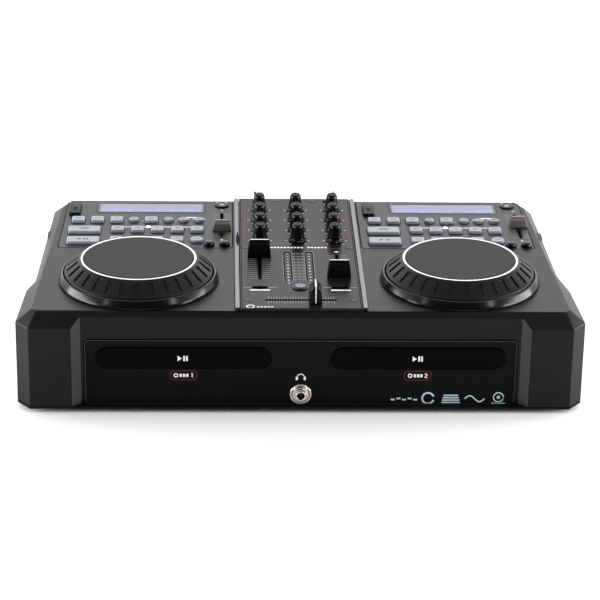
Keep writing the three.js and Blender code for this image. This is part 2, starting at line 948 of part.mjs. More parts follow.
// ---- Mixer ----
function mixerPlate() {
  const under = deckTop + seatGap;
  const tall = [under - through, mixerTop + roundBezelHeight + through];
  const plate = block(-mixerHalfWidth, mixerHalfWidth, mixerFrontY, mixerRearY, under, mixerTop);
  const bezel = post(0, roundButtonY, roundBezelRadius, under, mixerTop + roundBezelHeight, 20);
  const knobHoles = knobPlaces().map(([x, y]) => post(x, y, shaftRadius + slideGap, ...tall, 12));
  const faderSlots = [-1, 1].map((side) =>
    centredBlock(
      side * faderX,
      faderY,
      slotWidth,
      faderTravel + faderStem + 2 * slideGap,
      ...tall,
    ),
  );
  const crossSlot = centredBlock(
    0,
    crossfaderY,
    crossfaderTravel + faderStem + 2 * slideGap,
    slotWidth,
    ...tall,
  );
  const meterPockets = [-1, 1].map((side) =>
    prism(
      movedOutline(stadiumOutline(meterWidth, meterLength, 6), side * meterX, meterY),
      mixerTop - meterDepth,
      mixerTop + through,
    ),
  );
  const buttonHole = post(0, roundButtonY, roundButtonRadius + slideGap, ...tall, 16);
  const startSlots = [-1, 1].map((side) =>
    centredBlock(side * startSwitchX, startSwitchY, startSlotWidth, startSlotDepth, ...tall),
  );
  const toggleSlots = [-1, 1].map((side) =>
    centredBlock(side * toggleX, toggleY, toggleSlotLength, toggleSlotDepth, ...tall),
  );
  return cut(
    join(plate, bezel),
    ...knobHoles,
    ...faderSlots,
    crossSlot,
    ...meterPockets,
    buttonHole,
    ...startSlots,
    ...toggleSlots,
  );
}

function knobPlaces() {
  const places = [];
  for (let row = 0; row < knobRows; row += 1) {
    for (const column of [-1, 0, 1]) {
      places.push([knobCentreX + column * knobPitchX, knobFrontY + row * knobPitchY]);
    }
  }
  return places;
}

// Heights are from the top of the mixer plate.
function knob() {
  const shaftFoot = potTop + seatGap - mixerTop;
  return turned(
    [
      [0, shaftFoot],
      [shaftRadius, shaftFoot],
      [shaftRadius, 0.4],
      [knobFlange, 0.4],
      [knobFlange, 1.6],
      [knobFoot, 2.8],
      [knobCrown, knobHeight - 0.8],
      [knobCrown - 0.9, knobHeight],
      [0, knobHeight],
    ],
    knobSides,
  );
}

// A wedge-shaped cap, widest at its foot, on a stem that reaches down into the slide control.
// Its long side lies along x. Heights are from the surface that it slides over.
function faderCap(width, depth, height, stemReach) {
  const foot = roundedOutline(width, depth, capCorner, 1);
  const ridge = roundedOutline(width - 2 * capDraft, capRidge, capCorner, 1);
  const cap = loft(
    { outline: foot, z: capLift },
    { outline: foot, z: 0.25 * height },
    { outline: ridge, z: height },
  );
  const stem = centredBlock(0, 0, stemThickness, faderStem, -stemReach, capLift + bite);
  return join(cap, stem);
}

function roundButton() {
  const flange = roundButtonRadius + roundButtonFlange;
  const flangeTop = -mixerRise;
  const flangeFoot = flangeTop - roundButtonPlate;
  return turned(
    [
      [0, flangeFoot],
      [flange, flangeFoot],
      [flange, flangeTop],
      [roundButtonRadius, flangeTop],
      [roundButtonRadius, roundButtonRise - keyDraft],
      [roundButtonRadius - keyDraft, roundButtonRise],
      [0, roundButtonRise],
    ],
    16,
  );
}

function startSlider() {
  const depth = startSlotDepth - 2 * slideGap;
  const outline = roundedOutline(startKnobWidth, depth, startKnobCorner, 1);
  const tip = insetOutline(outline, startKnobCorner / 2);
  return loft(
    { outline, z: potTop + seatGap - mixerTop },
    { outline, z: startKnobHeight - startKnobCorner },
    { outline: tip, z: startKnobHeight },
  );
}

// A bat-shaped lever on a ball. Heights are from its pivot.
function toggleLever() {
  const tip = togglePivotDrop + toggleLength;
  return turned(
    [
      [0, -2.2],
      [1.8, -1.4],
      [2.2, 0],
      [1.4, 2],
      [toggleRadius, tip - 3],
      [toggleRadius * 0.8, tip - 0.6],
      [0, tip],
    ],
    12,
  );
}

// ---- Control panels: places are from the panel's middle in x, and from its rear edge in y ----
const keyRows = [
  { y: -54, first: -68.0, pitch: 18.95, kinds: ["square", "square", "square"] },
  { y: -54, first: -13.2, pitch: 17.15, kinds: ["round", "square", "round"] },
  { y: -54, first: 35.95, pitch: 15.1, kinds: ["round", "round"] },
  { y: -79.5, first: longRowFirst, pitch: longRowPitch, kinds: Array(5).fill("square") },
  { y: -107, first: longRowFirst, pitch: longRowPitch, kinds: [...Array(4).fill("square"), "oval"] },
];

function keyPlaces() {
  return keyRows.flatMap((row) =>
    row.kinds.map((kind, i) => ({ kind, x: row.first + i * row.pitch, y: row.y })),
  );
}

function keyOutline(kind, growth) {
  if (kind === "round") {
    return roundOutline(roundKeyRadius + growth, 10);
  }
  if (kind === "oval") {
    return roundedOutline(keyWidth + 2 * growth, keyDepth + 2 * growth, 0.42 * keyDepth + growth, 2);
  }
  return rectangleOutline(keyWidth + 2 * growth, keyDepth + 2 * growth);
}

function modeKeyPlace(side) {
  return side < 0 ? leftModeKeyX : rightModeKeyX;
}

function keyCap(outline, topZ) {
  return loft(
    { outline, z: webTop - bite },
    { outline, z: topZ - keyDraft },
    { outline: insetOutline(outline, keyDraft / 2), z: topZ },
  );
}

// All the small keys of one deck stand on one moulded web under the panel.
function keypad(side) {
  const modeKeyX = modeKeyPlace(side);
  const keys = keyPlaces();
  const caps = keys.map((key) => keyCap(movedOutline(keyOutline(key.kind, 0), key.x, key.y), keyTop));
  const rowWeb = (y) => {
    const row = keys.filter((key) => key.y === y);
    const reach = keyWidth / 2 + webMargin;
    return block(
      row[0].x - reach,
      row[row.length - 1].x + reach,
      y - keyDepth / 2 - webMargin,
      y + keyDepth / 2 + webMargin,
      webTop - webThickness,
      webTop,
    );
  };
  const levels = [...new Set(keyRows.map((row) => row.y))];
  const spine = block(
    longRowFirst,
    longRowFirst + 4 * longRowPitch,
    levels[2],
    levels[0],
    webTop - webThickness,
    webTop,
  );
  // The arm to the mode key passes between the display and the pitch slot.
  const armX = (displayX + displayWidth / 2 + pitchX) / 2;
  const webBlock = (x0, x1, y0, y1) => block(x0, x1, y0, y1, webTop - webThickness, webTop);
  const arms = [
    webBlock(keyRows[2].first, armX, levels[0] - armWidth / 2, levels[0] + armWidth / 2),
    webBlock(armX - armWidth / 2, armX + armWidth / 2, levels[0], modeKeyY),
    webBlock(armX, modeKeyX, modeKeyY - armWidth / 2, modeKeyY + armWidth / 2),
  ];
  const modeKey = keyCap(
    movedOutline(roundOutline(modeKeyRadius, 12), modeKeyX, modeKeyY),
    deckTop + modeKeyRise,
  );
  return join(spine, ...arms, modeKey, ...levels.map(rowWeb), ...caps);
}

// One key of its own: a cap with a flange that stays under the panel.
function looseKey(outline, rise) {
  return join(
    prism(insetOutline(outline, -keyFlange), webTop - webThickness, webTop),
    keyCap(outline, deckTop + rise),
  );
}

function bigKeyOutline(growth) {
  return roundedOutline(bigKeyWidth + 2 * growth, bigKeyDepth + 2 * growth, 1.8 + growth, 1);
}

function ejectOutline(growth) {
  return roundedOutline(ejectWidth + 2 * growth, ejectDepth + 2 * growth, 2.5 + growth, 2);
}

function domeKey(radius, rise) {
  return turned(
    [
      [0, webTop - webThickness - deckTop],
      [radius + keyFlange, webTop - webThickness - deckTop],
      [radius + keyFlange, webTop - deckTop],
      [radius, webTop - deckTop],
      [radius, 0.45 * rise],
      [0.72 * radius, 0.85 * rise],
      [0, rise],
    ],
    14,
  );
}

function controlPanel(side) {
  const low = panelUnder - through;
  const high = deckTop + through;
  const hole = (outline, x, y) =>
    prism(movedOutline(outline, side * panelCentreX + x, panelRearY + y), low, high);
  const plate = prism(sidedOutline(panelOutline(), side), panelUnder, deckTop);
  return cut(
    plate,
    ...keyPlaces().map((key) => hole(keyOutline(key.kind, slideGap), key.x, key.y)),
    hole(bigKeyOutline(slideGap), bigKeyX, cueY),
    hole(bigKeyOutline(slideGap), bigKeyX, playY),
    hole(ejectOutline(slideGap), ejectX, ejectY),
    hole(roundedOutline(displayWidth, displayDepth, 1.5, 1), displayX, displayY),
    hole(roundOutline(bendRadius + slideGap, 14), bendX - bendPitch / 2, bendY),
    hole(roundOutline(bendRadius + slideGap, 14), bendX + bendPitch / 2, bendY),
    hole(roundOutline(modeKeyRadius + slideGap, 16), modeKeyPlace(side), modeKeyY),
    hole(
      roundedOutline(slotWidth, pitchTravel + faderStem + 2 * slideGap, 0.5, 1),
      pitchX,
      pitchY,
    ),
  );
}

function displayWindow() {
  const outline = roundedOutline(displayWidth - 2 * seatGap, displayDepth - 2 * seatGap, 1.5, 1);
  const top = deckTop + seatGap;
  const frame = prism(outline, top - displayThickness, top);
  const glass = prism(insetOutline(outline, displayFrame), top - glassDrop, top + through);
  return cut(frame, glass);
}

// ---- Electronics ----
function slideControl(x, y, travel, along) {
  const length = travel + faderStem + potEnds;
  const way = travel + faderStem + 2 * slideGap;
  const size = (a, b) => (along === "y" ? [a, b] : [b, a]);
  const body = centredBlock(x, y, ...size(potWidth, length), boardTop - bite, potTop);
  const groove = centredBlock(x, y, ...size(slotWidth, way), stemFoot - through, potTop + through);
  return [body, groove];
}

function mainBoard() {
  const spineHalf = mixerHalfWidth - boardSideMargin;
  const wingHalf = panelOuterX - wingSideMargin;
  const farY = mixerRearY - boardRearMargin;
  const spine = block(-spineHalf, spineHalf, mixerFrontY + boardFrontMargin, farY, boardZ, boardTop);
  const wings = block(-wingHalf, wingHalf, panelFrontY + wingFrontMargin, farY, boardZ, boardTop);
  const controls = [
    slideControl(-faderX, faderY, faderTravel, "y"),
    slideControl(faderX, faderY, faderTravel, "y"),
    slideControl(0, crossfaderY, crossfaderTravel, "x"),
    slideControl(-panelCentreX + pitchX, panelRearY + pitchY, pitchTravel, "y"),
    slideControl(panelCentreX + pitchX, panelRearY + pitchY, pitchTravel, "y"),
  ];
  const turnPots = knobPlaces().map(([x, y]) =>
    centredBlock(x, y, turnPotWidth, turnPotWidth, boardTop - bite, potTop),
  );
  return cut(
    join(spine, wings, ...controls.map(([body]) => body), ...turnPots),
    ...controls.map(([, groove]) => groove),
  );
}

function powerSupply() {
  const bottom = floorTop + seatGap;
  const boardUnder = bottom + supplyLegHeight;
  const boardUpper = boardUnder + boardThickness;
  const foot = boardUpper - bite;
  const legX = (supplyWidth - supplyLeg) / 2;
  const legY = (supplyDepth - supplyLeg) / 2;
  const legs = [-legX, legX].flatMap((x) =>
    [-legY, legY].map((y) => centredBlock(x, y, supplyLeg, supplyLeg, bottom, boardUnder + bite)),
  );
  const transformerX = (transformerWidth - supplyWidth) / 2 + supplyLeg;
  const transformerY = (supplyDepth - transformerDepth) / 2 - supplyLeg;
  const capacitorX = supplyWidth / 2 - 2 * capacitorRadius;
  const heatSinkY = (heatSinkDepth - supplyDepth) / 2 + supplyLeg;
  return join(
    centredBlock(0, 0, supplyWidth, supplyDepth, boardUnder, boardUpper),
    ...legs,
    centredBlock(
      transformerX,
      transformerY,
      transformerWidth,
      transformerDepth,
      foot,
      boardUpper + transformerHeight,
    ),
    post(capacitorX, 2.5 * capacitorRadius, capacitorRadius, foot, boardUpper + capacitorHeight, 12),
    post(capacitorX, 0, capacitorRadius, foot, boardUpper + capacitorHeight, 12),
    centredBlock(0, heatSinkY, heatSinkWidth, heatSinkDepth, foot, boardUpper + heatSinkHeight),
  );
}

// A block centred on the inlet module, grown by a gap on its four sides.
function inletBlock(width, height, growth, nearY, farY) {
  return block(
    inletCentreX - width / 2 - growth,
    inletCentreX + width / 2 + growth,
    nearY,
    farY,
    inletCentreZ - height / 2 - growth,
    inletCentreZ + height / 2 + growth,
  );
}

function powerInlet() {
  const faceFar = bayPlaneY + inletFace;
  const face = inletBlock(inletWidth, inletHeight, 0, bayPlaneY, faceFar);
  const body = inletBlock(inletBodyWidth, inletBodyHeight, 0, bayPlaneY - inletBodyDepth, bayPlaneY + bite);
  const socketX = inletCentreX + inletOffset;
  const cavityNear = faceFar - inletCavityDepth;
  const cavity = block(
    socketX - inletCavityWidth / 2,
    socketX + inletCavityWidth / 2,
    cavityNear,
    faceFar + through,
    inletCentreZ - inletCavityHeight / 2,
    inletCentreZ + inletCavityHeight / 2,
  );
  const rockerBay = block(
    inletCentreX + rockerOffset - rockerWidth / 2 - rockerGap,
    inletCentreX + rockerOffset + rockerWidth / 2 + rockerGap,
    faceFar - rockerBayDepth,
    faceFar + through,
    inletCentreZ - rockerHeight / 2 - rockerGap,
    inletCentreZ + rockerHeight / 2 + rockerGap,
  );
  const pin = (x, z) =>
    block(
      socketX + x - pinWidth / 2,
      socketX + x + pinWidth / 2,
      cavityNear - bite,
      faceFar - pinDrop,
      inletCentreZ + z - pinWidth,
      inletCentreZ + z + pinWidth,
    );
  const pins = [pin(-pinPitch, -earthRise / 2), pin(pinPitch, -earthRise / 2), pin(0, earthRise)];
  return join(cut(join(face, body), cavity, rockerBay), ...pins);
}

// A rocker with two faces that meet at a shallow angle. Places are from its pivot.
function powerRocker() {
  const half = rockerHeight / 2;
  const keel = 0.55 * half;
  const side = [
    point(-keel, -2.5),
    point(0, -4),
    point(keel, -2.5),
    point(half, 3.2),
    point(0, 1.6),
    point(-half, 3.2),
  ];
  return prism(side, -rockerWidth / 2, rockerWidth / 2).rotateY(Math.PI / 2);
}

function phonoBlock() {
  const farY = bayPlaneY - rearWallThickness - 2 * seatGap;
  const halfX = (phonoColumns * phonoPitchX) / 2;
  const housing = block(
    phonoCentreX - halfX,
    phonoCentreX + halfX,
    farY - phonoHousing,
    farY,
    phonoCentreZ - phonoPitchZ,
    phonoCentreZ + phonoPitchZ,
  );
  const barrels = phonoPlaces().map(([x, z]) =>
    crosswisePost(x, z, phonoRadius, farY - bite, bayPlaneY + phonoReach, phonoSides),
  );
  const bores = phonoPlaces().map(([x, z]) =>
    crosswisePost(x, z, phonoBore, bayPlaneY - phonoBoreDepth, bayPlaneY + phonoReach + through, 8),
  );
  return cut(join(housing, ...barrels), ...bores);
}

// A dished ring with a barrel that stands out of it. The profile's height runs from the back, towards
// the user.
function headphoneJack() {
  const ringBack = jackLength;
  const ringFront = ringBack + jackRing;
  const dish = ringBack + 0.3 * jackRing;
  const barrelFront = ringBack + jackReach;
  const bevel = 0.6;
  return turned(
    [
      [0, 0],
      [jackNeck, 0],
      [jackNeck, ringBack],
      [jackRadius, ringBack],
      [jackRadius, ringFront - bevel],
      [jackRadius - 2 * bevel, ringFront],
      [jackNeck + bevel, dish],
      [jackBarrelRadius, dish],
      [jackBarrelRadius, barrelFront - bevel],
      [jackBarrelRadius - bevel, barrelFront],
      [jackBore, barrelFront],
      [jackBore, jackFloor],
      [0, jackFloor],
    ],
    jackSides,
  ).rotateX(Math.PI / 2);
}

// ---- Assembly ----
addPart("base_chassis", baseChassis(), looks.steelBase);
addPart("top_shell", topShell(), looks.caseShell);
addPart("front_fascia", frontFascia(), looks.fascia);
addPart("mixer_plate", mixerPlate(), looks.panel);
addPart("main_board", mainBoard(), looks.boardGreen);
addPart("power_supply", powerSupply(), looks.boardGreen, [
  supplySideMargin - halfWidth,
  rearY - supplyRearMargin,
  0,
]);
addPart("power_inlet", powerInlet(), looks.glossBlack);
addPart("rca_jack_block", phonoBlock(), looks.glossBlack);
const rocker = addPart("power_rocker", powerRocker(), looks.glossBlack, [
  inletCentreX + rockerOffset,
  bayPlaneY + rockerSink,
  inletCentreZ,
]);
rocker.rotation.x = THREE.MathUtils.degToRad(rockerTilt);
addPart("headphone_jack", headphoneJack(), looks.chrome, [
  0,
  recessPlaneY - seatGap + jackLength,
  jackCentreZ,
]);
for (const [sideName, side] of [
  ["left", -1],
  ["right", 1],
]) {
  const footX = side * (halfWidth - footSideMargin);
  addPart(`${sideName}_front_foot`, foot(), looks.gripRubber, [footX, frontY + footFrontMargin, 0]);
  addPart(`${sideName}_rear_foot`, foot(), looks.gripRubber, [footX, rearY - footRearMargin, 0]);
}

// What sits on the mixer plate.
const mixer = new THREE.Group();
mixer.position.z = mixerTop;
workstation.add(mixer);
knobPlaces().forEach(([x, y], i) => {
  const row = Math.floor(i / 3) + 1;
  const column = ["left", "middle", "right"][i % 3];
  addPart(`${column}_knob_${row}`, knob(), looks.glossBlack, [x, y, 0], mixer);
});
const stemReach = mixerTop - stemFoot;
const channelCap = faderCap(faderWidth, faderDepth, faderHeight, stemReach);
addPart("left_channel_fader", channelCap, looks.glossBlack, [-faderX, faderY + leftFaderRest, 0], mixer);
addPart("right_channel_fader", channelCap, looks.glossBlack, [faderX, faderY + rightFaderRest, 0], mixer);
const crossCap = addPart(
  "crossfader",
  channelCap,
  looks.glossBlack,
  [crossfaderRest, crossfaderY, 0],
  mixer,
);
crossCap.rotation.z = Math.PI / 2;
addPart("cue_mix_button", roundButton(), looks.silverKey, [0, roundButtonY, 0], mixer);
for (const [sideName, side] of [
  ["left", -1],
  ["right", 1],
]) {
  const place = [side * startSwitchX, startSwitchY, 0];
  addPart(`${sideName}_start_switch`, startSlider(), looks.glossBlack, place, mixer);
  const lever = addPart(
    `${sideName}_input_toggle`,
    toggleLever(),
    looks.chrome,
    [side * toggleX, toggleY, -togglePivotDrop],
    mixer,
  );
  lever.rotation.y = THREE.MathUtils.degToRad(side * toggleLean);
}

// The two decks. The right deck's keys stand in the same order as the left deck's.
for (const [sideName, side] of [
  ["left", -1],
  ["right", 1],
]) {
  const jog = new THREE.Group();
  jog.position.set(side * jogCentreX, jogCentreY, deckTop);
  workstation.add(jog);
  addPart(`${sideName}_jog_collar`, jogCollar(), looks.glossBlack, [0, 0, 0], jog);
  addPart(`${sideName}_jog_wheel`, jogWheel(), looks.gripRubber, [0, 0, 0], jog);

  const loader = new THREE.Group();
  loader.position.set(side * trayCentreX, 0, trayCentreZ);
  workstation.add(loader);
  addPart(`${sideName}_disc_drive`, discDrive(), looks.steel, [0, 0, 0], loader);
  addPart(`${sideName}_disc_tray`, discTray(), looks.fascia, [0, 0, 0], loader);

  addPart(`${sideName}_control_panel`, controlPanel(side), looks.panel);
  const deck = new THREE.Group();
  deck.position.set(side * panelCentreX, panelRearY, 0);
  workstation.add(deck);
  addPart(`${sideName}_keypad`, keypad(side), looks.silverKey, [0, 0, 0], deck);
  const bigKey = looseKey(bigKeyOutline(0), keyRise);
  addPart(`${sideName}_cue_button`, bigKey, looks.silverKey, [bigKeyX, cueY, 0], deck);
  addPart(`${sideName}_play_button`, bigKey, looks.silverKey, [bigKeyX, playY, 0], deck);
  const ejectKey = looseKey(ejectOutline(0), ejectRise);
  addPart(`${sideName}_eject_button`, ejectKey, looks.glossBlack, [ejectX, ejectY, 0], deck);
  addPart(`${sideName}_display_window`, displayWindow(), looks.display, [displayX, displayY, 0], deck);
  const pitchRest = side < 0 ? leftPitchRest : 0;
  addPart(
    `${sideName}_pitch_fader`,
    faderCap(pitchCapWidth, pitchCapDepth, pitchCapHeight, deckTop - stemFoot),
    looks.glossBlack,
    [pitchX, pitchY + pitchRest, deckTop],
    deck,
  );
  ["minus", "plus"].forEach((sign, i) => {
    const place = [bendX + (i - 0.5) * bendPitch, bendY, deckTop];
    addPart(`${sideName}_bend_${sign}_button`, domeKey(bendRadius, bendRise), looks.glossBlack, place, deck);
  });
}

export default workstation;
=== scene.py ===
import json
import math

import bmesh
import bpy
import numpy as np
from mathutils import Matrix, Vector


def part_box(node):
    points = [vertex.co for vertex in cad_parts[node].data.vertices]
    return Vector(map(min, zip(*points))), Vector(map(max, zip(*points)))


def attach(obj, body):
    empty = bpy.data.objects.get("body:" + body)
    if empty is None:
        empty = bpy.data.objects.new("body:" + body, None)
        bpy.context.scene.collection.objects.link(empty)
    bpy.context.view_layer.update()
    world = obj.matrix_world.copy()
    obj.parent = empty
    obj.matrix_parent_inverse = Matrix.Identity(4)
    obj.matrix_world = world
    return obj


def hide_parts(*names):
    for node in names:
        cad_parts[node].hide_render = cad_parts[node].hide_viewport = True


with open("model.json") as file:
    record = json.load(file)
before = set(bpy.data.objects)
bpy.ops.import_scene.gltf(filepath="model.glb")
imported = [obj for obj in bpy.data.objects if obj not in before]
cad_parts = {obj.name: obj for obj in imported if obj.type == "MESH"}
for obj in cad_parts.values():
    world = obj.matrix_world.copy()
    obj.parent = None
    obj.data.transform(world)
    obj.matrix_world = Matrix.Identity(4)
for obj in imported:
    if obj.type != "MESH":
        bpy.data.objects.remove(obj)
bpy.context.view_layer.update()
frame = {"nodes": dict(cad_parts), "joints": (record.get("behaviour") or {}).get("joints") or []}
print("frame loaded:", len(frame["nodes"]), "nodes")

mm = 0.001
link = bpy.context.scene.collection.objects.link
decks = (("left", -1), ("right", 1))  # a deck's name and the sign of its x


# the low corner of a node's box, metres over 0.001
def low(node):
    return np.array(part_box(node)[0]) / mm


# the high corner of a node's box
def high(node):
    return np.array(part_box(node)[1]) / mm


# half the sum of the two corners
def middle(node):
    return (low(node) + high(node)) / 2


paint = 0.06  # thickness of printed legends
deckTop = high("left_control_panel")[2]
plateTop = high("mixer_plate")[2] - 1.2  # the plate's edge stands 1.2 proud
faceY = low("front_fascia")[1] + 0.8  # the bead stands 0.8 proud of the face


# Shapes are (points, quads, triangles) in millimetres.
# rings is (levels, points round, 3): neighbours are joined by quads, ends by a fan to their mean point
def skinOf(rings, closedAlong=False):
    rings = np.asarray(rings, float)
    count, around = rings.shape[:2]
    points = rings.reshape(-1, 3)
    level = np.arange(count if closedAlong else count - 1)[:, None]
    step = np.arange(around)[None, :]
    nextLevel, nextStep = (level + 1) % count, (step + 1) % around
    corner = lambda a, b: (a * around + b).ravel()
    quads = np.stack([corner(level, step), corner(level, nextStep),
                      corner(nextLevel, nextStep), corner(nextLevel, step)], 1)
    if closedAlong:
        return points, quads, np.zeros((0, 3), int)
    fans = []
    for first, turn in ((0, -1), ((count - 1) * around, 1)):
        fan = [first + step.ravel(), first + nextStep.ravel(), np.full(around, len(points))]
        fans.append(np.stack(fan[::turn], 1))
        points = np.vstack([points, points[first:first + around].mean(0)])
    return points, quads, np.vstack(fans)


# shapes put together: each one's faces count on from the points before it
def joined(*shapes):
    starts = np.cumsum([0] + [len(shape[0]) for shape in shapes])
    return tuple(np.vstack([shape[part] + (start if part else 0) for shape, start in zip(shapes, starts)])
                 for part in range(3))


# every point plus one step
def moved(shape, x=0.0, y=0.0, z=0.0):
    return shape[0] + np.array([x, y, z]), shape[1], shape[2]


# turns a shape about an axis through the origin, then moves it
def turned(shape, axis, degrees, place=(0, 0, 0)):
    matrix = np.array(Matrix.Rotation(math.radians(degrees), 3, axis))
    return shape[0] @ matrix.T + np.array(place), shape[1], shape[2]


# stands a flat legend up on the front: its y becomes height, its thickness comes forward
def stoodUp(shape, planeY):
    return turned(shape, "X", 90, (0, planeY, 0))


# a profile of (r, z) turned upright: (r cos a, r sin a, z); a closed one goes round a hole and meets itself
def lathe(profile, sides=96, closed=False):
    profile = np.array(profile, float)
    angle = np.linspace(0, 2 * math.pi, sides, endpoint=False)
    radius = np.maximum(profile[:, :1], 1e-4)
    return skinOf(np.stack([radius * np.cos(angle), radius * np.sin(angle),
                            np.repeat(profile[:, 1:], sides, 1)], 2), closed)


# replaces each inner corner of a profile by a quadratic curve that starts and ends one radius from it
def eased(profile, radius, steps=4):
    points = [np.array(p, float) for p in profile]
    result = [points[0]]
    t = np.linspace(0, 1, steps + 1)[:, None]
    for before, corner, after in zip(points, points[1:], points[2:]):
        reach = [min(radius, 0.45 * np.linalg.norm(end - corner)) for end in (before, after)]
        start = corner + (before - corner) / np.linalg.norm(before - corner) * reach[0]
        end = corner + (after - corner) / np.linalg.norm(after - corner) * reach[1]
        result.extend((1 - t) ** 2 * start + 2 * t * (1 - t) * corner + t ** 2 * end)
    return result + [points[-1]]


# a rectangle's outline with quarter circles at its corners, anticlockwise
def roundedRing(width, depth, radius, steps=5):
    radius = min(radius, 0.499 * width, 0.499 * depth)
    quarter = np.linspace(0, math.pi / 2, steps)
    parts = []
    for turn, (sx, sy) in enumerate(((1, -1), (1, 1), (-1, 1), (-1, -1))):
        angle = quarter + (turn - 1) * math.pi / 2
        parts.append(np.stack([sx * (width / 2 - radius) + radius * np.cos(angle),
                               sy * (depth / 2 - radius) + radius * np.sin(angle)], 1))
    return np.vstack(parts)


# flat outlines of one length, each at its height, skinned
def layered(outlines, closed=False):
    return skinOf([np.column_stack([outline, np.full(len(outline), z)]) for outline, z in outlines], closed)


# rounded rectangles stacked up: each level is (width, depth, corner, height)
def stacked(stages, steps=5):
    return layered([(roundedRing(w, d, r, steps), z) for w, d, r, z in stages])


# a box from its six planes
def slab(x0, x1, y0, y1, z0, z1):
    corners = np.array([[x0, y0], [x1, y0], [x1, y1], [x0, y1]], float)
    return layered([(corners, z) for z in (z0, z1)])


# a thin closed band along a line: each point goes half a width to both sides of its tangent
def ribbon(line, width, z0=0.0, z1=None, closed=False):
    line = np.asarray(line, float)
    z1 = z0 + paint if z1 is None else z1
    tangent = np.roll(line, -1, 0) - np.roll(line, 1, 0) if closed else np.gradient(line, axis=0)
    tangent /= np.linalg.norm(tangent, axis=1, keepdims=True)
    side = np.stack([-tangent[:, 1], tangent[:, 0]], 1) * width / 2
    corners = [(line - side, z0), (line - side, z1), (line + side, z1), (line + side, z0)]
    rings = np.stack([np.column_stack([p, np.full(len(line), z)]) for p, z in corners], 1)
    return skinOf(rings[:, ::-1], closed)


# points on a circle between two angles
def arcLine(radius, start, end, steps=14, x=0.0, y=0.0):
    angle = np.radians(np.linspace(start, end, steps))
    return np.stack([x + radius * np.cos(angle), y + radius * np.sin(angle)], 1)


# a printed disc: a rectangle's profile turned round
def dot(x, y, radius, z0=0.0, rise=paint, sides=14):
    return moved(lathe([(0, 0), (radius, 0), (radius, rise), (0, rise)], sides), x, y, z0)


# a printed stroke: a slab about its middle
def bar(x, y, width, depth, z0=0.0):
    return slab(x - width / 2, x + width / 2, y - depth / 2, y + depth / 2, z0, z0 + paint)


# gives a node's inputs their values, or links them when the value is another node's socket
def wire(tree, node, inputs):
    for name, value in inputs.items():
        if isinstance(value, bpy.types.NodeSocket):
            tree.links.new(value, node.inputs[name])
        else:
            node.inputs[name].default_value = value
    return node


# a new node with its settings, then its inputs
def addNode(tree, kind, inputs, **settings):
    node = tree.nodes.new("ShaderNode" + kind)
    for name, value in settings.items():
        setattr(node, name, value)
    return wire(tree, node, inputs)


# an empty material with its tree and its shader
def newMaterial(name):
    material = bpy.data.materials.new(name)
    material.use_nodes = True
    tree = material.node_tree
    return material, tree, next(node for node in tree.nodes if node.type == "BSDF_PRINCIPLED")


usualLook = {"cloudScale": 18, "grainScale": 2600, "stretch": (1, 1, 1), "spread": 0.12, "roughSpread": 0.05,
             "bump": 0.15, "bumpDepth": 0.00008, "metal": 0}


# colour = a blend from (1 - spread) to (1 + spread) of its value by clouds plus grain; roughness = its value
# and a share of the clouds; height = the grain
def grainedFinish(name, colour, roughness, specular=0.5, changes=None):
    look = {**usualLook, **(changes or {})}
    material, tree, shader = newMaterial(name)
    place = tree.nodes.new("ShaderNodeTexCoord").outputs["Object"]
    cloud = addNode(tree, "TexNoise", {"Vector": place, "Scale": look["cloudScale"], "Detail": 5}).outputs["Fac"]
    stretched = addNode(tree, "Mapping", {"Vector": place, "Scale": look["stretch"]}).outputs["Vector"]
    fine = addNode(tree, "TexNoise", {"Vector": stretched, "Scale": look["grainScale"], "Detail": 2})
    grain = fine.outputs["Fac"]
    total = addNode(tree, "Math", {0: cloud, 1: grain}, operation="ADD").outputs["Value"]
    tone = addNode(tree, "MapRange", {"Value": total, "From Min": 0.7, "From Max": 1.3}).outputs["Result"]
    base, spread, sway = np.ones(3) * colour, look["spread"], look["roughSpread"]
    blend = addNode(tree, "Mix", {"Factor": tone, "A": (*(base * (1 - spread)), 1),
                                  "B": (*np.minimum(base * (1 + spread), 1), 1)}, data_type="RGBA")
    rough = addNode(tree, "MapRange", {"Value": cloud, "To Min": roughness - sway, "To Max": roughness + sway})
    bump = addNode(tree, "Bump", {"Height": grain, "Strength": look["bump"], "Distance": look["bumpDepth"]})
    wire(tree, shader, {"Base Color": blend.outputs["Result"], "Roughness": rough.outputs["Result"],
                        "Normal": bump.outputs["Normal"], "Metallic": look["metal"],
                        "Specular IOR Level": specular})
    if "glow" in look:
        wire(tree, shader, {"Emission Color": (*look["glow"], 1), "Emission Strength": look["glowStrength"]})
    return material


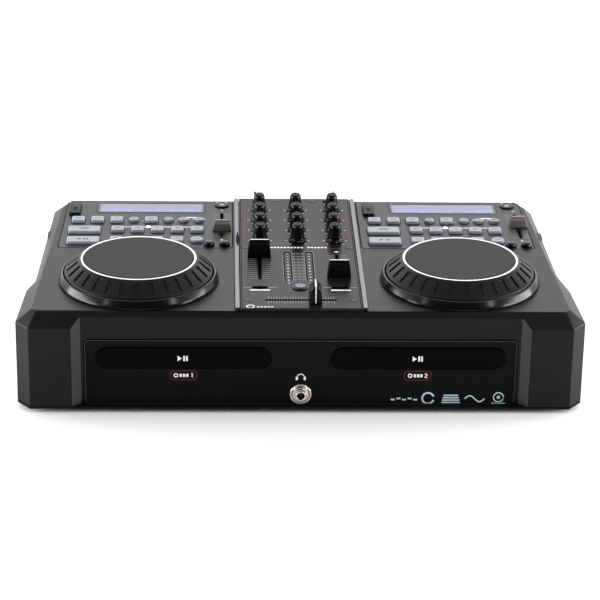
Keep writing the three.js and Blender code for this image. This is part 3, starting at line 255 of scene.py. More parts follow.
# colour, roughness, specular level, and what differs from the usual look
looks = {
    "shellGrain": ((0.0052, 0.0047, 0.0057), 0.40, 0.125, {"grainScale": 1500, "bump": 0.3, "spread": 0.25}),
    # a lighter copy of the shell's finish for the pillar facets: painted highlight
    "revealPaintedHighlight": ((0.036, 0.035, 0.039), 0.40, 0.2, {"grainScale": 1500, "bump": 0.3, "spread": 0.2}),
    # a lighter finish for a band on the fascia's bead: painted highlight along its edge
    "beadPaintedSheen": ((0.018, 0.017, 0.018), 0.3, 0.3),
    "basePaint": (0.005, 0.5, 0.08),
    "fasciaSatin": ((0.0040, 0.0036, 0.0042), 0.45, 0.05, {"grainScale": 1900, "bump": 0.25}),
    "trayGloss": (0.0016, 0.3, 0.02, {"roughSpread": 0.03}),
    "mixerPaint": ((0.0075, 0.0070, 0.0078), 0.3, 0.07, {"grainScale": 2200, "spread": 0.2}),
    "panelPaint": ((0.015, 0.0145, 0.0155), 0.38, 0.15, {"grainScale": 2200, "bump": 0.2, "spread": 0.2}),
    "railTrim": ((0.105, 0.10, 0.108), 0.35, 0.5, {"metal": 1, "bump": 0.1}),
    "gripBlack": ((0.0055, 0.0050, 0.0048), 0.36, 0.13, {"grainScale": 1800, "bump": 0.25}),
    "touchPlate": ((0.0135, 0.0120, 0.0126), 0.5, 0.065, {"grainScale": 1700, "bump": 0.55, "spread": 0.35}),
    "ringWhite": ((0.88, 0.88, 0.89), 0.35),
    "collarGloss": ((0.003, 0.003, 0.0035), 0.2, 0.22, {"bump": 0.06, "roughSpread": 0.04}),
    "knobBlack": (0.003, 0.2, 0.28, {"bump": 0.05, "roughSpread": 0.04}),
    "ejectBlack": (0.006, 0.3, 0.07),
    "knobTop": ((0.012, 0.011, 0.011), 0.4, 0.06),
    "capBlack": (0.003, 0.3, 0.08, {"bump": 0.1}),
    "pitchBrown": ((0.085, 0.078, 0.070), 0.35, 0.3),
    "keySilver": ((0.215, 0.238, 0.265), 0.36,
                  0.25, {"grainScale": 3000, "bump": 0.12, "spread": 0.06}),
    "darkInk": ((0.03, 0.03, 0.035), 0.5, 0.1),
    # near black for the bands in gaps, recesses and hollows: painted shade
    "seamBlack": (0.003, 0.6, 0.03),
    "whiteInk": ((0.80, 0.81, 0.83), 0.5),
    "greyInk": ((0.20, 0.20, 0.215), 0.5, 0.2),
    "redInk": ((0.17, 0.022, 0.018), 0.5, 0.1),
    "pointerRed": ((0.55, 0.06, 0.04), 0.4, 0.2),
    "tealInk": ((0.45, 0.60, 0.60), 0.5),
    "pinkInk": ((0.55, 0.26, 0.26), 0.5, 0.2),
    "windowSmoke": ((0.012, 0.015, 0.013), 0.15, 0.04, {"bump": 0.03}),
    "displayFrame": ((0.085, 0.085, 0.095), 0.4, 0.06),
    "displayDark": ((0.185, 0.185, 0.21), 0.25, 0.15, {"bump": 0.03}),
    "displayLit": ((0.16, 0.18, 0.32), 0.25, 0.1, {"glow": (0.36, 0.42, 0.80), "glowStrength": 0.22,
                                                   "cloudScale": 60, "spread": 0.25}),
    "displaySegment": ((0.16, 0.18, 0.34), 0.25, 0.1, {"glow": (0.36, 0.42, 0.85), "glowStrength": 0.12}),
    "lampBlue": ((0.6, 0.75, 1.0), 0.2, 0.5, {"glow": (0.50, 0.66, 1.0), "glowStrength": 3.0}),
    "lampGreen": ((0.32, 0.38, 0.33), 0.3, 0.2),
    "lampAmber": ((0.24, 0.225, 0.20), 0.3, 0.2),
    "lampRed": ((0.24, 0.18, 0.165), 0.3, 0.2),
    "nickel": ((0.56, 0.53, 0.49), 0.18, 0.5, {"metal": 1, "bump": 0.05}),
    "zincSteel": ((0.50, 0.51, 0.53), 0.35, 0.5, {"metal": 1, "stretch": (1, 40, 1),
                                                       "grainScale": 300, "bump": 0.2}),
    "screwBlack": ((0.02, 0.02, 0.021), 0.3, 0.3),
    "solderMask": ((0.012, 0.065, 0.030), 0.35, 0.5, {"cloudScale": 90, "spread": 0.35}),
    "componentDark": ((0.03, 0.03, 0.032), 0.45),
    "footRubber": (0.015, 0.8, 0.5, {"bump": 0.4}),
    "plugWhite": ((0.72, 0.72, 0.70), 0.4),
    "plugRed": ((0.45, 0.03, 0.03), 0.4),
    "buttonBlue": ((0.06, 0.08, 0.105), 0.25, 0.3),
}
finishes = {name: grainedFinish(name, *look) for name, look in looks.items()}
print("finishes:", len(finishes))


# puts a shape into a mesh in metres, with doubled points joined
def putPiece(name, shape, finish, body, nodes=(), sharpFrom=35):
    points, quads, triangles = shape
    mesh = bpy.data.meshes.new(name)
    mesh.from_pydata((points * mm).tolist(), [], quads.tolist() + triangles.tolist())
    mesh.update()
    edit = bmesh.new()
    edit.from_mesh(mesh)
    bmesh.ops.remove_doubles(edit, verts=edit.verts, dist=2e-7)
    edit.to_mesh(mesh)
    edit.free()
    return dressed(name, mesh, finish, body, nodes, sharpFrom)


# a mesh as a piece with one finish, smooth where faces meet at less than the angle
def dressed(name, mesh, finish, body, nodes, sharpFrom):
    mesh.shade_smooth()
    mesh.set_sharp_from_angle(angle=math.radians(sharpFrom))
    mesh.materials.clear()
    mesh.materials.append(finishes[finish])
    piece = bpy.data.objects.new(name, mesh)
    link(piece)
    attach(piece, body)
    if nodes:
        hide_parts(*nodes)
    return piece


# a piece over the middle of its own node, at a height
def onNode(node, ending, shape, z, finish, stands=False):
    x, y, _ = middle(node)
    putPiece(node + ending, moved(shape, x, y, z), finish, node, [node] if stands else ())


# twice a face's area over its longest side: tells true faces from slivers
def thickness(face):
    return 2 * face.calc_area() / max(side.calc_length() for side in face.edges)


# a copy of a CAD solid with its corners joined and its sharp edges rounded
def softened(node, finish, edge, body="case", steps=2, sharpFrom=25):
    mesh = frame["nodes"][node].data.copy()
    edit = bmesh.new()
    edit.from_mesh(mesh)
    bmesh.ops.remove_doubles(edit, verts=edit.verts, dist=1e-6)
    weight = edit.edges.layers.float.new("bevel_weight_edge")
    for rim in edit.edges:
        rim[weight] = float(len(rim.link_faces) == 2 and rim.calc_face_angle() > math.radians(sharpFrom)
                            and min(map(thickness, rim.link_faces)) > 0.03 * mm)
    edit.to_mesh(mesh)
    edit.free()
    piece = dressed(node + "_body", mesh, finish, body, [node], sharpFrom)
    rounding = piece.modifiers.new("roundedEdges", "BEVEL")
    rounding.width = edge * mm
    rounding.segments = steps
    rounding.limit_method = "WEIGHT"
    rounding.use_clamp_overlap = False
    evened = piece.modifiers.new("evenShading", "WEIGHTED_NORMAL")
    evened.keep_sharp = True


# finish, slot and the radius of the edges
caseEdges = {
    "top_shell": ("shellGrain", "case_shell", 0.7),
    "base_chassis": ("basePaint", "base_paint", 0.4),
    "front_fascia": ("fasciaSatin", "fascia_plastic", 0.25),
    "mixer_plate": ("mixerPaint", "panel_metal", 0.3),
    "left_control_panel": ("panelPaint", "panel_metal", 0.25),
    "right_control_panel": ("panelPaint", "panel_metal", 0.25),
    "power_inlet": ("capBlack", "gloss_black", 0.3),
    "rca_jack_block": ("capBlack", "gloss_black", 0.25),
    "main_board": ("solderMask", "circuit_board", 0.15),
    "power_supply": ("solderMask", "circuit_board", 0.2),
    "left_disc_drive": ("zincSteel", "drive_steel", 0.3),
    "right_disc_drive": ("zincSteel", "drive_steel", 0.3),
}
for node, (finish, slot, edge) in caseEdges.items():
    softened(node, finish, edge)
for side, _ in decks:
    softened(side + "_disc_tray", "trayGloss", 0.5, body=side + "_disc_tray")
softened("power_rocker", "capBlack", 0.5, body="power_rocker", steps=3)


# one vector for each face, its centre or its normal
def faceVectors(mesh, kind):
    values = np.zeros(len(mesh.polygons) * 3)
    mesh.polygons.foreach_get(kind, values)
    return values.reshape(-1, 3)


# faces whose centre lies above the height are the parts that stand on a board
def paintComponents(name, height):
    mesh = bpy.data.objects[name].data
    mesh.materials.append(finishes["componentDark"])
    mesh.polygons.foreach_set("material_index", (faceVectors(mesh, "center")[:, 2] > height * mm).astype(int))


paintComponents("main_board_body", low("main_board")[2] + 1.8)
paintComponents("power_supply_body", low("power_supply")[2] + 4.9)

reveal = {"inner": 198, "outer": 212, "front": -140}  # where the front's recess meets the pillars


# the upright facets at the pillars: centre between two distances from the middle, normal forward and inward; they
# get a lighter finish, a painted highlight for the light they catch from the side
def paintRevealHighlight():
    mesh = bpy.data.objects["top_shell_body"].data
    mesh.materials.append(finishes["revealPaintedHighlight"])
    centres, normals = faceVectors(mesh, "center") / mm, faceVectors(mesh, "normal")
    away = np.abs(centres[:, 0])
    inward = (away > reveal["inner"]) & (away < reveal["outer"]) & (centres[:, 1] < reveal["front"])
    inward &= (np.abs(normals[:, 0]) > 0.35) & (normals[:, 1] < -0.3)
    inward &= np.sign(normals[:, 0]) != np.sign(centres[:, 0])
    mesh.polygons.foreach_set("material_index", inward.astype(int))


paintRevealHighlight()

foot = {"radius": 10, "sole": 8.6, "height": 3.7, "recess": 4}


# a turned pad with a rolled edge and a shallow dimple in its sole
def rubberFoot():
    profile = [(0, 0.6), (foot["recess"], 0.6), (foot["recess"] + 0.8, 0), (foot["sole"], 0),
               (foot["radius"], 1.3), (foot["radius"] - 0.8, foot["height"]), (0, foot["height"])]
    return lathe(eased(profile, 0.6), 48)


for side, _ in decks:
    for end in ("front", "rear"):
        node = f"{side}_{end}_foot"
        x, y, _ = middle(node)
        putPiece(node + "_pad", moved(rubberFoot(), x, y, 0), "footRubber", "case", [node])
print("case done")

wheel = {
    "topRadius": 54.4, "edgeRadius": 69.3, "top": 21.7, "edge": 8.9, "foot": 2.0, "wall": 2.5,
    "ringInner": 51.9, "ringOuter": 53.9, "pockets": 30, "pocketHalfWidth": 2.4, "pocketStart": 2.6,
    "pocketEnd": 16.6, "pocketDepth": 1.2, "pocketWall": 0.5, "pocketCorner": 1.1, "steps": 1500,
    "hub": 4.35, "hubFoot": -4.9, "hubCollar": 8.2,
}


# the grip's slope as a grid of angle and distance down the slope; each pocket sinks the surface where the
# distance to a rounded rectangle turns negative, and shallows out towards the ring
def jogGrip():
    w = wheel
    angle = np.linspace(0, 2 * math.pi, w["steps"], endpoint=False)
    slope = np.array([w["edgeRadius"] - w["topRadius"], w["edge"] - w["top"]])
    length = np.linalg.norm(slope)
    along = np.concatenate([[0.5, 1.5], np.linspace(w["pocketStart"], length - 0.5, 44)])
    radius = w["topRadius"] + slope[0] * along / length
    height = w["top"] + slope[1] * along / length
    pitch = 2 * math.pi / w["pockets"]
    across = (np.mod(angle / pitch, 1) - 0.5) * pitch
    across = across[None, :] * radius[:, None]
    down = along[:, None]
    dx = np.abs(across) - (w["pocketHalfWidth"] - w["pocketCorner"])
    dy = down - (w["pocketEnd"] - w["pocketCorner"])
    outside = np.hypot(np.maximum(dx, 0), np.maximum(dy, 0)) + np.minimum(np.maximum(dx, dy), 0) - w["pocketCorner"]
    sunk = np.clip(0.5 - outside / w["pocketWall"], 0, 1)
    sink = w["pocketDepth"] * sunk * sunk * (3 - 2 * sunk) * np.clip(down - w["pocketStart"], 0, 1)
    normal = np.array([-slope[1], slope[0]]) / length
    r = radius[:, None] - normal[0] * sink
    z = height[:, None] - normal[1] * sink
    grid = np.stack([r * np.cos(angle), r * np.sin(angle), z], 2)
    ring = lambda rr, zz: np.stack([rr * np.cos(angle), rr * np.sin(angle), np.full_like(angle, zz)], 1)[None]
    outer, inner, top, edge, under = w["edgeRadius"], w["edgeRadius"] - w["wall"], w["top"], w["edge"], w["foot"]
    topRoll = [ring(w["ringOuter"] - 0.1, top - 0.9), ring(w["ringOuter"], top - 0.15),
               ring(w["topRadius"] - 0.25, top - 0.05)]
    skirt = [ring(outer - 0.1, edge - 0.3), ring(outer, edge - 0.9), ring(outer, under + 0.5),
             ring(outer - 0.5, under), ring(inner, under), ring(inner, edge - w["wall"]),
             ring(w["topRadius"] - w["wall"], top - 2.0)]
    return skinOf(np.concatenate([*topRoll, grid, *skirt])[::-1], True)


# the round touch plate turned: a very shallow dish with a soft edge, and its hub below
def touchPlate():
    rim, top = wheel["ringInner"], wheel["top"]
    dish = [(rim - 2, top - 2.4), (rim - 0.2, top - 2.4), (rim - 0.2, top - 0.15), (rim - 0.5, top - 0.05),
            (rim - 4, top - 0.08), (20, top - 0.25), (0, top - 0.28)]
    hub = [(0, 15.0), (wheel["hub"], 15.0), (wheel["hub"], wheel["hubFoot"]),
           (wheel["hubCollar"], wheel["hubFoot"]), (wheel["hubCollar"], top - 2.4)]
    return lathe(hub + dish, 160)


# the white band turned: a rectangle with its upper corners cut
def ringBand():
    inner, outer, base, top = wheel["ringInner"], wheel["ringOuter"], wheel["top"] - 1.2, wheel["top"] - 0.02
    return lathe([(inner, base), (outer - 0.15, base), (outer - 0.15, top - 0.12),
                  (outer - 0.3, top), (inner + 0.15, top), (inner, top - 0.12)], 200, True)


collar = {"flange": 75.0, "tube": 71.8, "inner": 70.4, "foot": 0.3, "rim": 2.6, "top": 8.2, "floor": -7.5,
          "spindle": 4.0, "spindleTop": 14.7}


# a turned dish with a glossy sloping rim: straight wall, rolled lip, floor and spindle
def jogCollar():
    c = collar
    outer = eased([(c["tube"] - 0.2, -0.4), (c["tube"] - 0.2, c["foot"]), (c["flange"] - 0.2, c["foot"]),
                   (c["flange"], 0.9), (c["flange"] - 0.5, c["rim"]), (c["tube"] + 0.15, c["top"] - 0.3),
                   (c["tube"] - 0.5, c["top"]), (c["inner"] + 0.2, c["top"] - 0.1), (c["inner"], c["top"] - 0.6),
                   (c["inner"], c["floor"] + 1.5)], 0.5, 3)
    spindle = eased([(c["spindle"], c["floor"] + 1.5), (c["spindle"], c["spindleTop"] - 0.5),
                     (c["spindle"] - 0.5, c["spindleTop"])], 0.4, 3)
    return lathe([(0, c["floor"]), (c["tube"], c["floor"]), *outer, *spindle, (0, c["spindleTop"])], 200)


for side, _ in decks:
    body = side + "_jog_wheel"
    x, y, _ = middle(body)
    putPiece(side + "_jog_grip", moved(jogGrip(), x, y, deckTop), "gripBlack", body, [body], 40)
    putPiece(side + "_touch_plate", moved(touchPlate(), x, y, deckTop), "touchPlate", body)
    putPiece(side + "_jog_ring", moved(ringBand(), x, y, deckTop), "ringWhite", body)
    putPiece(side + "_collar", moved(jogCollar(), x, y, deckTop), "collarGloss", "case",
             [side + "_jog_collar"])
print("jog wheels done")

knobForm = {"flange": 8.8, "foot": 7.3, "waist": 6.3, "crown": 5.4, "height": 17.6, "lobes": 12, "lobeDepth": 0.5,
            "sides": 120, "shaft": 2.9}


# a turned bell with a scalloped skirt: the radius is the profile's, less a share of a cosine of the angle
def turnKnob():
    k = knobForm
    profile = np.array(eased([(k["shaft"], 0.4), (k["flange"] - 0.3, 0.4), (k["flange"], 1.0),
                              (k["flange"] - 0.4, 1.8), (k["foot"], 2.9), (k["waist"], 8.0),
                              (k["crown"] + 0.15, k["height"] - 2.2), (k["crown"] - 1.0, k["height"] - 0.2),
                              (0.5, k["height"])], 1.0, 5))
    angle = np.linspace(0, 2 * math.pi, k["sides"], endpoint=False)
    skirt = np.clip((3.2 - profile[:, 1:]) / 2.4, 0, 1) * (profile[:, :1] > k["foot"] - 0.5)
    radius = profile[:, :1] - k["lobeDepth"] * skirt * (1 - np.cos(k["lobes"] * angle)) / 2
    rings = np.stack([radius * np.cos(angle), radius * np.sin(angle), np.repeat(profile[:, 1:], k["sides"], 1)], 2)
    return joined(skinOf(rings), lathe([(0, -7.0), (k["shaft"], -7.0), (k["shaft"], 0.6), (0, 0.6)], 24))


# a raised line from the middle of the top over the rear of the crown: one rectangle carried along it
def knobPointer():
    crown, height = knobForm["crown"], knobForm["height"]
    line = [(1.4, height + 0.12), (crown - 1.2, height + 0.12), (crown - 0.1, height - 0.6),
            (crown + 0.3, height - 2.6), (crown + 0.6, height - 6.0)]
    return skinOf([[(x, y, z) for x, y in ((-0.8, r), (0.8, r), (0.8, r - 0.8), (-0.8, r - 0.8))] for r, z in line])


# a matt, slightly hollow turned disc let into the crown
def knobTop():
    rim, height = knobForm["crown"] - 1.1, knobForm["height"]
    return lathe([(0, height - 1.0), (rim, height - 1.0), (rim, height + 0.05), (rim - 0.4, height + 0.08),
                  (2.0, height + 0.02), (0, height + 0.01)], 48)


knobPlaces = [f"{column}_knob_{row}" for row in range(1, 5) for column in ("left", "middle", "right")]
for node in knobPlaces:
    onNode(node, "_cap", turnKnob(), plateTop, "knobBlack", stands=True)
    onNode(node, "_line", knobPointer(), plateTop, "pointerRed")
    onNode(node, "_top", knobTop(), plateTop, "knobTop")

capForm = {
    "corner": 1.0, "lift": 0.6, "stem": 2.0, "stemDepth": 4.0,
    # share of the height, cut from the width in mm, share of the depth
    "profile": [(0, 0.8, 0.93), (0.03, 0, 1), (0.35, 0.9, 0.93), (0.64, 1.9, 0.86), (0.72, 2.3, 0.80),
                (0.76, 2.5, 0.70), (0.82, 2.9, 0.52), (0.90, 3.4, 0.36), (0.97, 3.9, 0.29), (1, 4.7, 0.25)],
}
# width, depth, height, reach of the stem, thickness of the line
capSizes = {"mixer": (22.3, 12, 17, 11.4, 1.3), "pitch": (18, 12, 10.5, 8.4, 1.5)}


# rounded rectangles that narrow upwards: sheer sides, then a hollow sweep up to a slim ridge
def slideCap(width, depth, height, stemReach, _):
    c = capForm
    stages = [(width - cut, depth * deep, min(c["corner"], depth * deep * 0.45),
               c["lift"] + (height - c["lift"]) * share) for share, cut, deep in c["profile"]]
    stem = slab(-c["stem"] / 2, c["stem"] / 2, -c["stemDepth"] / 2, c["stemDepth"] / 2, -stemReach, 1.5)
    return joined(stacked(stages), stem)


# the line along a cap's ridge: three rounded rectangles, the last one smaller
def capLine(width, depth, height, stemReach, thick):
    return stacked([(width - 4.4, thick, 0.4, height - 0.5), (width - 4.4, thick, 0.4, height + 0.02),
                    (width - 4.8, thick - 0.4, 0.3, height + 0.06)], 4)


# the crossfader's line: a band along the ridge, and a rectangle carried down the front face
def crossLine():
    ridge = turned(ribbon([(-9.2, 0), (8.8, 0)], 1.0, 16.6, 17.06), "Z", 90)
    fall = [(-11.2, 1.6), (-10.78, 6.2), (-10.3, 11.0), (-9.8, 14.0), (-9.35, 16.4), (-8.9, 17.04)]
    rings = [[(-0.5, y, z), (0.5, y, z), (0.5, y + 1.0, z), (-0.5, y + 1.0, z)] for y, z in fall]
    return joined(ridge, skinOf(rings))


for side, _ in decks:
    for kind, node, z, capFinish, lineFinish in (
            ("mixer", side + "_channel_fader", plateTop, "capBlack", "whiteInk"),
            ("pitch", side + "_pitch_fader", deckTop, "pitchBrown", "greyInk")):
        onNode(node, "_cap", slideCap(*capSizes[kind]), z, capFinish, stands=True)
        onNode(node, "_line", capLine(*capSizes[kind]), z, lineFinish)

x, y, _ = middle("crossfader")
putPiece("crossfader_cap", turned(slideCap(*capSizes["mixer"]), "Z", 90, (x, y, plateTop)), "capBlack",
         "crossfader", ["crossfader"])
putPiece("crossfader_line", moved(crossLine(), x, y, plateTop), "whiteInk", "crossfader")

x, y, _ = middle("cue_mix_button")
button = [(0, -3.6), (6.8, -3.6), (6.8, -3.0),
          *eased([(5.4, -3.0), (5.4, 1.7), (4.7, 2.35), (2.5, 2.15), (0.1, 2.05)], 0.5)]
putPiece("round_button", moved(lathe(button, 48), x, y, plateTop), "buttonBlue", "cue_mix_button",
         ["cue_mix_button"])
bezel = lathe([(6.0, 0.6), (7.0, 0.6), (7.2, 1.0), (6.9, 1.35), (6.3, 1.35), (6.0, 1.0)], 64, True)
putPiece("button_bezel", moved(bezel, x, y, plateTop - 0.1), "knobBlack", "case")

lever = {"lean": 14}


# a turned bat lever: narrow neck, swelling to a round tip
def toggleBat():
    return lathe(eased([(0, -2.1), (1.8, -1.4), (2.2, 0), (1.2, 2.2), (1.35, 8), (2.05, 15), (1.9, 17.0),
                        (1.0, 17.75), (0.0, 17.8)], 0.9, 4), 32)


ribs = [moved(stacked([(0.7, 3.6, 0.3, 1.9), (0.7, 3.4, 0.3, 2.55), (0.4, 3.0, 0.2, 2.6)], 3), dx)
        for dx in (-1.6, 0, 1.6)]
slider = joined(stacked([(6, 4, 0.8, -7), (6, 4, 0.8, 1.5), (5.6, 3.7, 0.8, 2.0)], 4), *ribs)
for side, _ in decks:
    onNode(side + "_start_switch", "_knob", slider, plateTop, "capBlack", stands=True)
for side, sign in decks:
    node = side + "_input_toggle"
    pivot = np.array(next(joint for joint in frame["joints"] if joint["child"] == node)["pos_m"]) / mm
    putPiece(node + "_bat", turned(toggleBat(), "Y", sign * lever["lean"], pivot), "nickel", node,
             [node])
print("mixer controls done")

meter = {"x": 10.3, "y": -40.5, "width": 7.2, "length": 74.4, "lamps": 10, "lampWidth": 2.3, "lampDepth": 2.6}
slots = {"faderX": 37.0, "faderY": -41.0, "travel": 58, "strokes": 13, "crossY": -121.1, "crossTravel": 60}
inks = {name: [] for name in ("whiteInk", "greyInk", "redInk", "lampRed", "lampAmber", "lampGreen", "windowSmoke",
                              "seamBlack")}
white, grey = inks["whiteInk"], inks["greyInk"]

for side, sign in decks:
    x, y, width, length = sign * meter["x"], meter["y"], meter["width"], meter["length"]
    inks["windowSmoke"].append(moved(stacked([(width, length, 3.6, z) for z in (-0.95, -0.55)], 8), x, y, plateTop))
    for i in range(meter["lamps"]):
        colour = "lampGreen" if i < 6 else "lampAmber" if i < 8 else "lampRed"
        lamp = stacked([(meter["lampWidth"], meter["lampDepth"], 0.8, -0.56),
                        (meter["lampWidth"] - 0.3, meter["lampDepth"] - 0.3, 0.7, -0.25)], 3)
        lampY = y - length / 2 + 4.5 + i * (length - 9) / (meter["lamps"] - 1)
        inks[colour].append(moved(lamp, x, lampY, plateTop))
    white.append(dot(x, y - length / 2 - 3.2, 0.7, plateTop))
    # a dark band just inside the window's edge: painted shade in the recess
    inks["seamBlack"].append(ribbon(roundedRing(width - 0.7, length - 0.7, 3.3, 8) + (x, y), 1.1,
                                    plateTop - 0.54, plateTop - 0.4, closed=True))
    grey.append(ribbon(roundedRing(width + 1.5, length + 1.5, 4.2, 8) + (x, y), 0.5, plateTop,
                                  closed=True))
    for flank in (-1, 1):
        for i in range(slots["strokes"]):  # ladder beside the channel slot
            lineY = slots["faderY"] + slots["travel"] * (i / (slots["strokes"] - 1) - 0.5)
            grey.append(bar(sign * slots["faderX"] + flank * 6.2, lineY, 7.0, 0.7, plateTop))
        grey.append(bar(sign * 37.3 + flank * 12.2, -91.4, 6.5, 1.3, plateTop))
    white.append(bar(sign * 37.4, -97.8, 18.5, 2.4, plateTop))
    white.append(bar(sign * 37, -3.2, 3.6, 1.8, plateTop))
    inks["redInk"].append(ribbon([(sign * 50.5, 9), (sign * 50.5, 128)], 0.55, plateTop))
for column in range(3):  # dashes between the meters
    for row in range(10):
        grey.append(bar((column - 1) * 4.1, -73 + row * 7.2, 2.7, 1.5, plateTop))
for i in range(25):  # crossfader scale, longer strokes at every third
    reach = 5.6 if i % 3 == 0 else 4.2
    for flank in (-1, 1):
        grey.append(bar(slots["crossTravel"] * (i / 24 - 0.5), slots["crossY"] + flank * (2.4 + reach / 2),
                                   0.7, reach, plateTop))
inks["redInk"].append(ribbon([(-50.5, 5.4), (50.5, 5.4)], 0.6, plateTop))
for i in range(17):  # a plain dashed stripe in two groups
    if i != 10:
        white.append(bar(-25.0 + i * 3.25, 7.6, 2.3, 2.6, plateTop))
white.append(ribbon(arcLine(3.4, 0, 345, 24, -46.5, -136.2), 1.2, plateTop))
for i in range(5):
    white.append(bar(-39.5 + i * 3.2, -137.0, 2.2, 1.6, plateTop))
# a dark band round the plate's edge: painted shade in the gap to the shell
plateEdge = roundedRing(2 * high("mixer_plate")[0] - 2.6, 278.8, 1.5) + (0, -0.4)
inks["seamBlack"].append(ribbon(plateEdge, 0.7, plateTop, closed=True))
for node in knobPlaces:
    for angle in np.radians((-48, 0, 90, 180, 228)):  # strokes round a knob
        out = np.array([math.cos(angle), math.sin(angle)])
        white.append(ribbon([out * r + middle(node)[:2] for r in (10.0, 11.6)], 0.8, plateTop))
for name, shapes in inks.items():
    putPiece("mixer_" + name, joined(*shapes), name, "case")

rail = {"x": 58.3, "halfWidth": 1.9, "rise": 0.4, "front": -139.0, "rear": 140.0, "stages": 9,
        "lensX": -57.6, "lensY": 8, "lensLength": 40, "lensHalfWidth": 1.6}


# a shallow bowed strip laid on each rail: its height across falls with the square of the distance from its middle
def railStrip():
    across = np.linspace(-1, 1, rail["stages"])
    section = [(rail["halfWidth"] * c, rail["rise"] * (1 - c * c) + 0.02) for c in across]
    section = [(-rail["halfWidth"], -0.3), *section, (rail["halfWidth"], -0.3)]
    places = np.linspace(rail["front"], rail["rear"], 12)
    return skinOf([[(x, y, z) for x, z in section] for y in places][::-1])


# a dark lens laid on the left rail, a painted reflection of a dark cap: its half width follows half a sine along
# its length
def railDarkLens():
    along = np.linspace(0, 1, 24)
    swell, length = rail["lensHalfWidth"] * np.sin(math.pi * along), rail["lensLength"]
    lens = np.concatenate([np.stack([swell, length * along], 1),
                           np.stack([-swell, length - length * along], 1)[1:-1]])
    return layered([(lens + (rail["lensX"], rail["lensY"]), plateTop + z) for z in (-0.2, 0.42)])


strips = [moved(railStrip(), sign * rail["x"], 0, plateTop) for _, sign in decks]
putPiece("rail_strips", joined(*strips), "railTrim", "case")
putPiece("rail_notch", railDarkLens(), "seamBlack", "case")

screw = {"radius": 3.1, "rise": 0.5, "slotLength": 1.7, "slotHalfWidth": 0.28}
screwPlaces = [(flank * x, y) for x, y in ((48, -121), (50, 7.5), (17.5, 134.5)) for flank in (-1, 1)]


# a turned pan head
def panScrew():
    return lathe(eased([(0, -0.2), (screw["radius"], -0.2), (screw["radius"], 0.15), (2.2, 0.42),
                        (0, screw["rise"])], 0.3), 32)


# two slabs across each other, laid on the head in near black: painted shade for the cross recess
def crossMark():
    long, half, rise = screw["slotLength"], screw["slotHalfWidth"], screw["rise"]
    return joined(slab(-long, long, -half, half, 0.3, rise + 0.05),
                  slab(-half, half, -long, long, 0.3, rise + 0.045))


heads = [moved(panScrew(), x, y, plateTop) for x, y in screwPlaces]
# dark rings round the heads: painted shade in the gap round each screw
gapShades = [ribbon(arcLine(3.5, 0, 345, 24, x, y), 0.7, plateTop) for x, y in screwPlaces]
crosses = [moved(turned(crossMark(), "Z", 20 * i), x, y, plateTop) for i, (x, y) in enumerate(screwPlaces)]
for name, shapes, finish in (("mixer_screws", heads, "screwBlack"), ("mixer_screw_sockets", gapShades, "seamBlack"),
                             ("mixer_screw_marks", crosses, "seamBlack")):
    putPiece(name, joined(*shapes), finish, "case")
print("mixer legends done")

keyForm = {"width": 13, "round": 4.75, "rise": 3.0, "corner": 1.3, "foot": -2.4, "mode": 7.0, "modeRise": 1.6,
           "pitch": 19.45, "first": -28.3}
# y of a row, the x of its keys, their kind
keyRows = [(84.5, (-68.0, -49.05, -30.1), "square"), (84.5, (-13.2,), "round"), (84.5, (3.95,), "square"),
           (84.5, (21.1, 35.95, 51.05), "round"),
           (59.0, tuple(keyForm["first"] + keyForm["pitch"] * i for i in range(5)), "square"),
           (31.5, tuple(keyForm["first"] + keyForm["pitch"] * i for i in range(4)), "square"),
           (31.5, (49.5,), "oval")]


# a key: straight sides, a rolled shoulder and a slightly dished top
def keyCap(width, depth, corner, rise):
    shoulder = [(0.25, 1.2), (0.8, 0.62), (1.6, 0.2), (2.5, 0)]  # cut from both widths, drop
    return stacked([(width, depth, corner, keyForm["foot"]), (width, depth, corner, rise - 1.75),
                    *[(width - cut, depth - cut, corner, rise - drop) for cut, drop in shoulder],
                    (width - 4.0, depth - 4.0, corner * 0.7, rise - 0.06)], 6)


# a turned key with a soft rim and a slightly dished top
def roundCap(radius, rise):
    profile = [(radius, keyForm["foot"]), (radius, rise - 1.0), (radius - 0.25, rise - 0.4),
               (radius - 0.8, rise - 0.06), (radius - 1.4, rise), (0.1, rise - 0.1)]
    return lathe([(0, keyForm["foot"]), *eased(profile, 0.5)], 40)


# the cap for each kind of small key
def capOf(kind):
    if kind == "round":
        return roundCap(keyForm["round"], keyForm["rise"])
    corner = 5.4 if kind == "oval" else keyForm["corner"]
    return keyCap(keyForm["width"], keyForm["width"], corner, keyForm["rise"])


# small symbols for the key tops, in turn: a bar, two bars, chevrons, two lines
def keySymbol(number, x, y, z):
    pick = number % 4
    if pick == 0:
        return bar(x, y, 5.2, 1.3, z)
    if pick == 1:
        return joined(bar(x - 1.5, y, 2.2, 1.4, z), bar(x + 1.6, y, 2.2, 1.4, z))
    if pick == 2:
        chevron = lambda dx: ribbon([(x + dx - 0.9, y - 1.2), (x + dx + 0.4, y), (x + dx - 0.9, y + 1.2)], 0.6, z)
        return joined(chevron(-0.8), chevron(1.0))
    return joined(bar(x, y + 0.9, 4.6, 0.7, z), bar(x, y - 0.8, 3.2, 0.7, z))


# a triangle that points right, and two bars beside it
def playMark(triangle, *bars):
    return joined(layered([(np.array(triangle, float), z) for z in (0, paint)]), *[bar(*size) for size in bars])


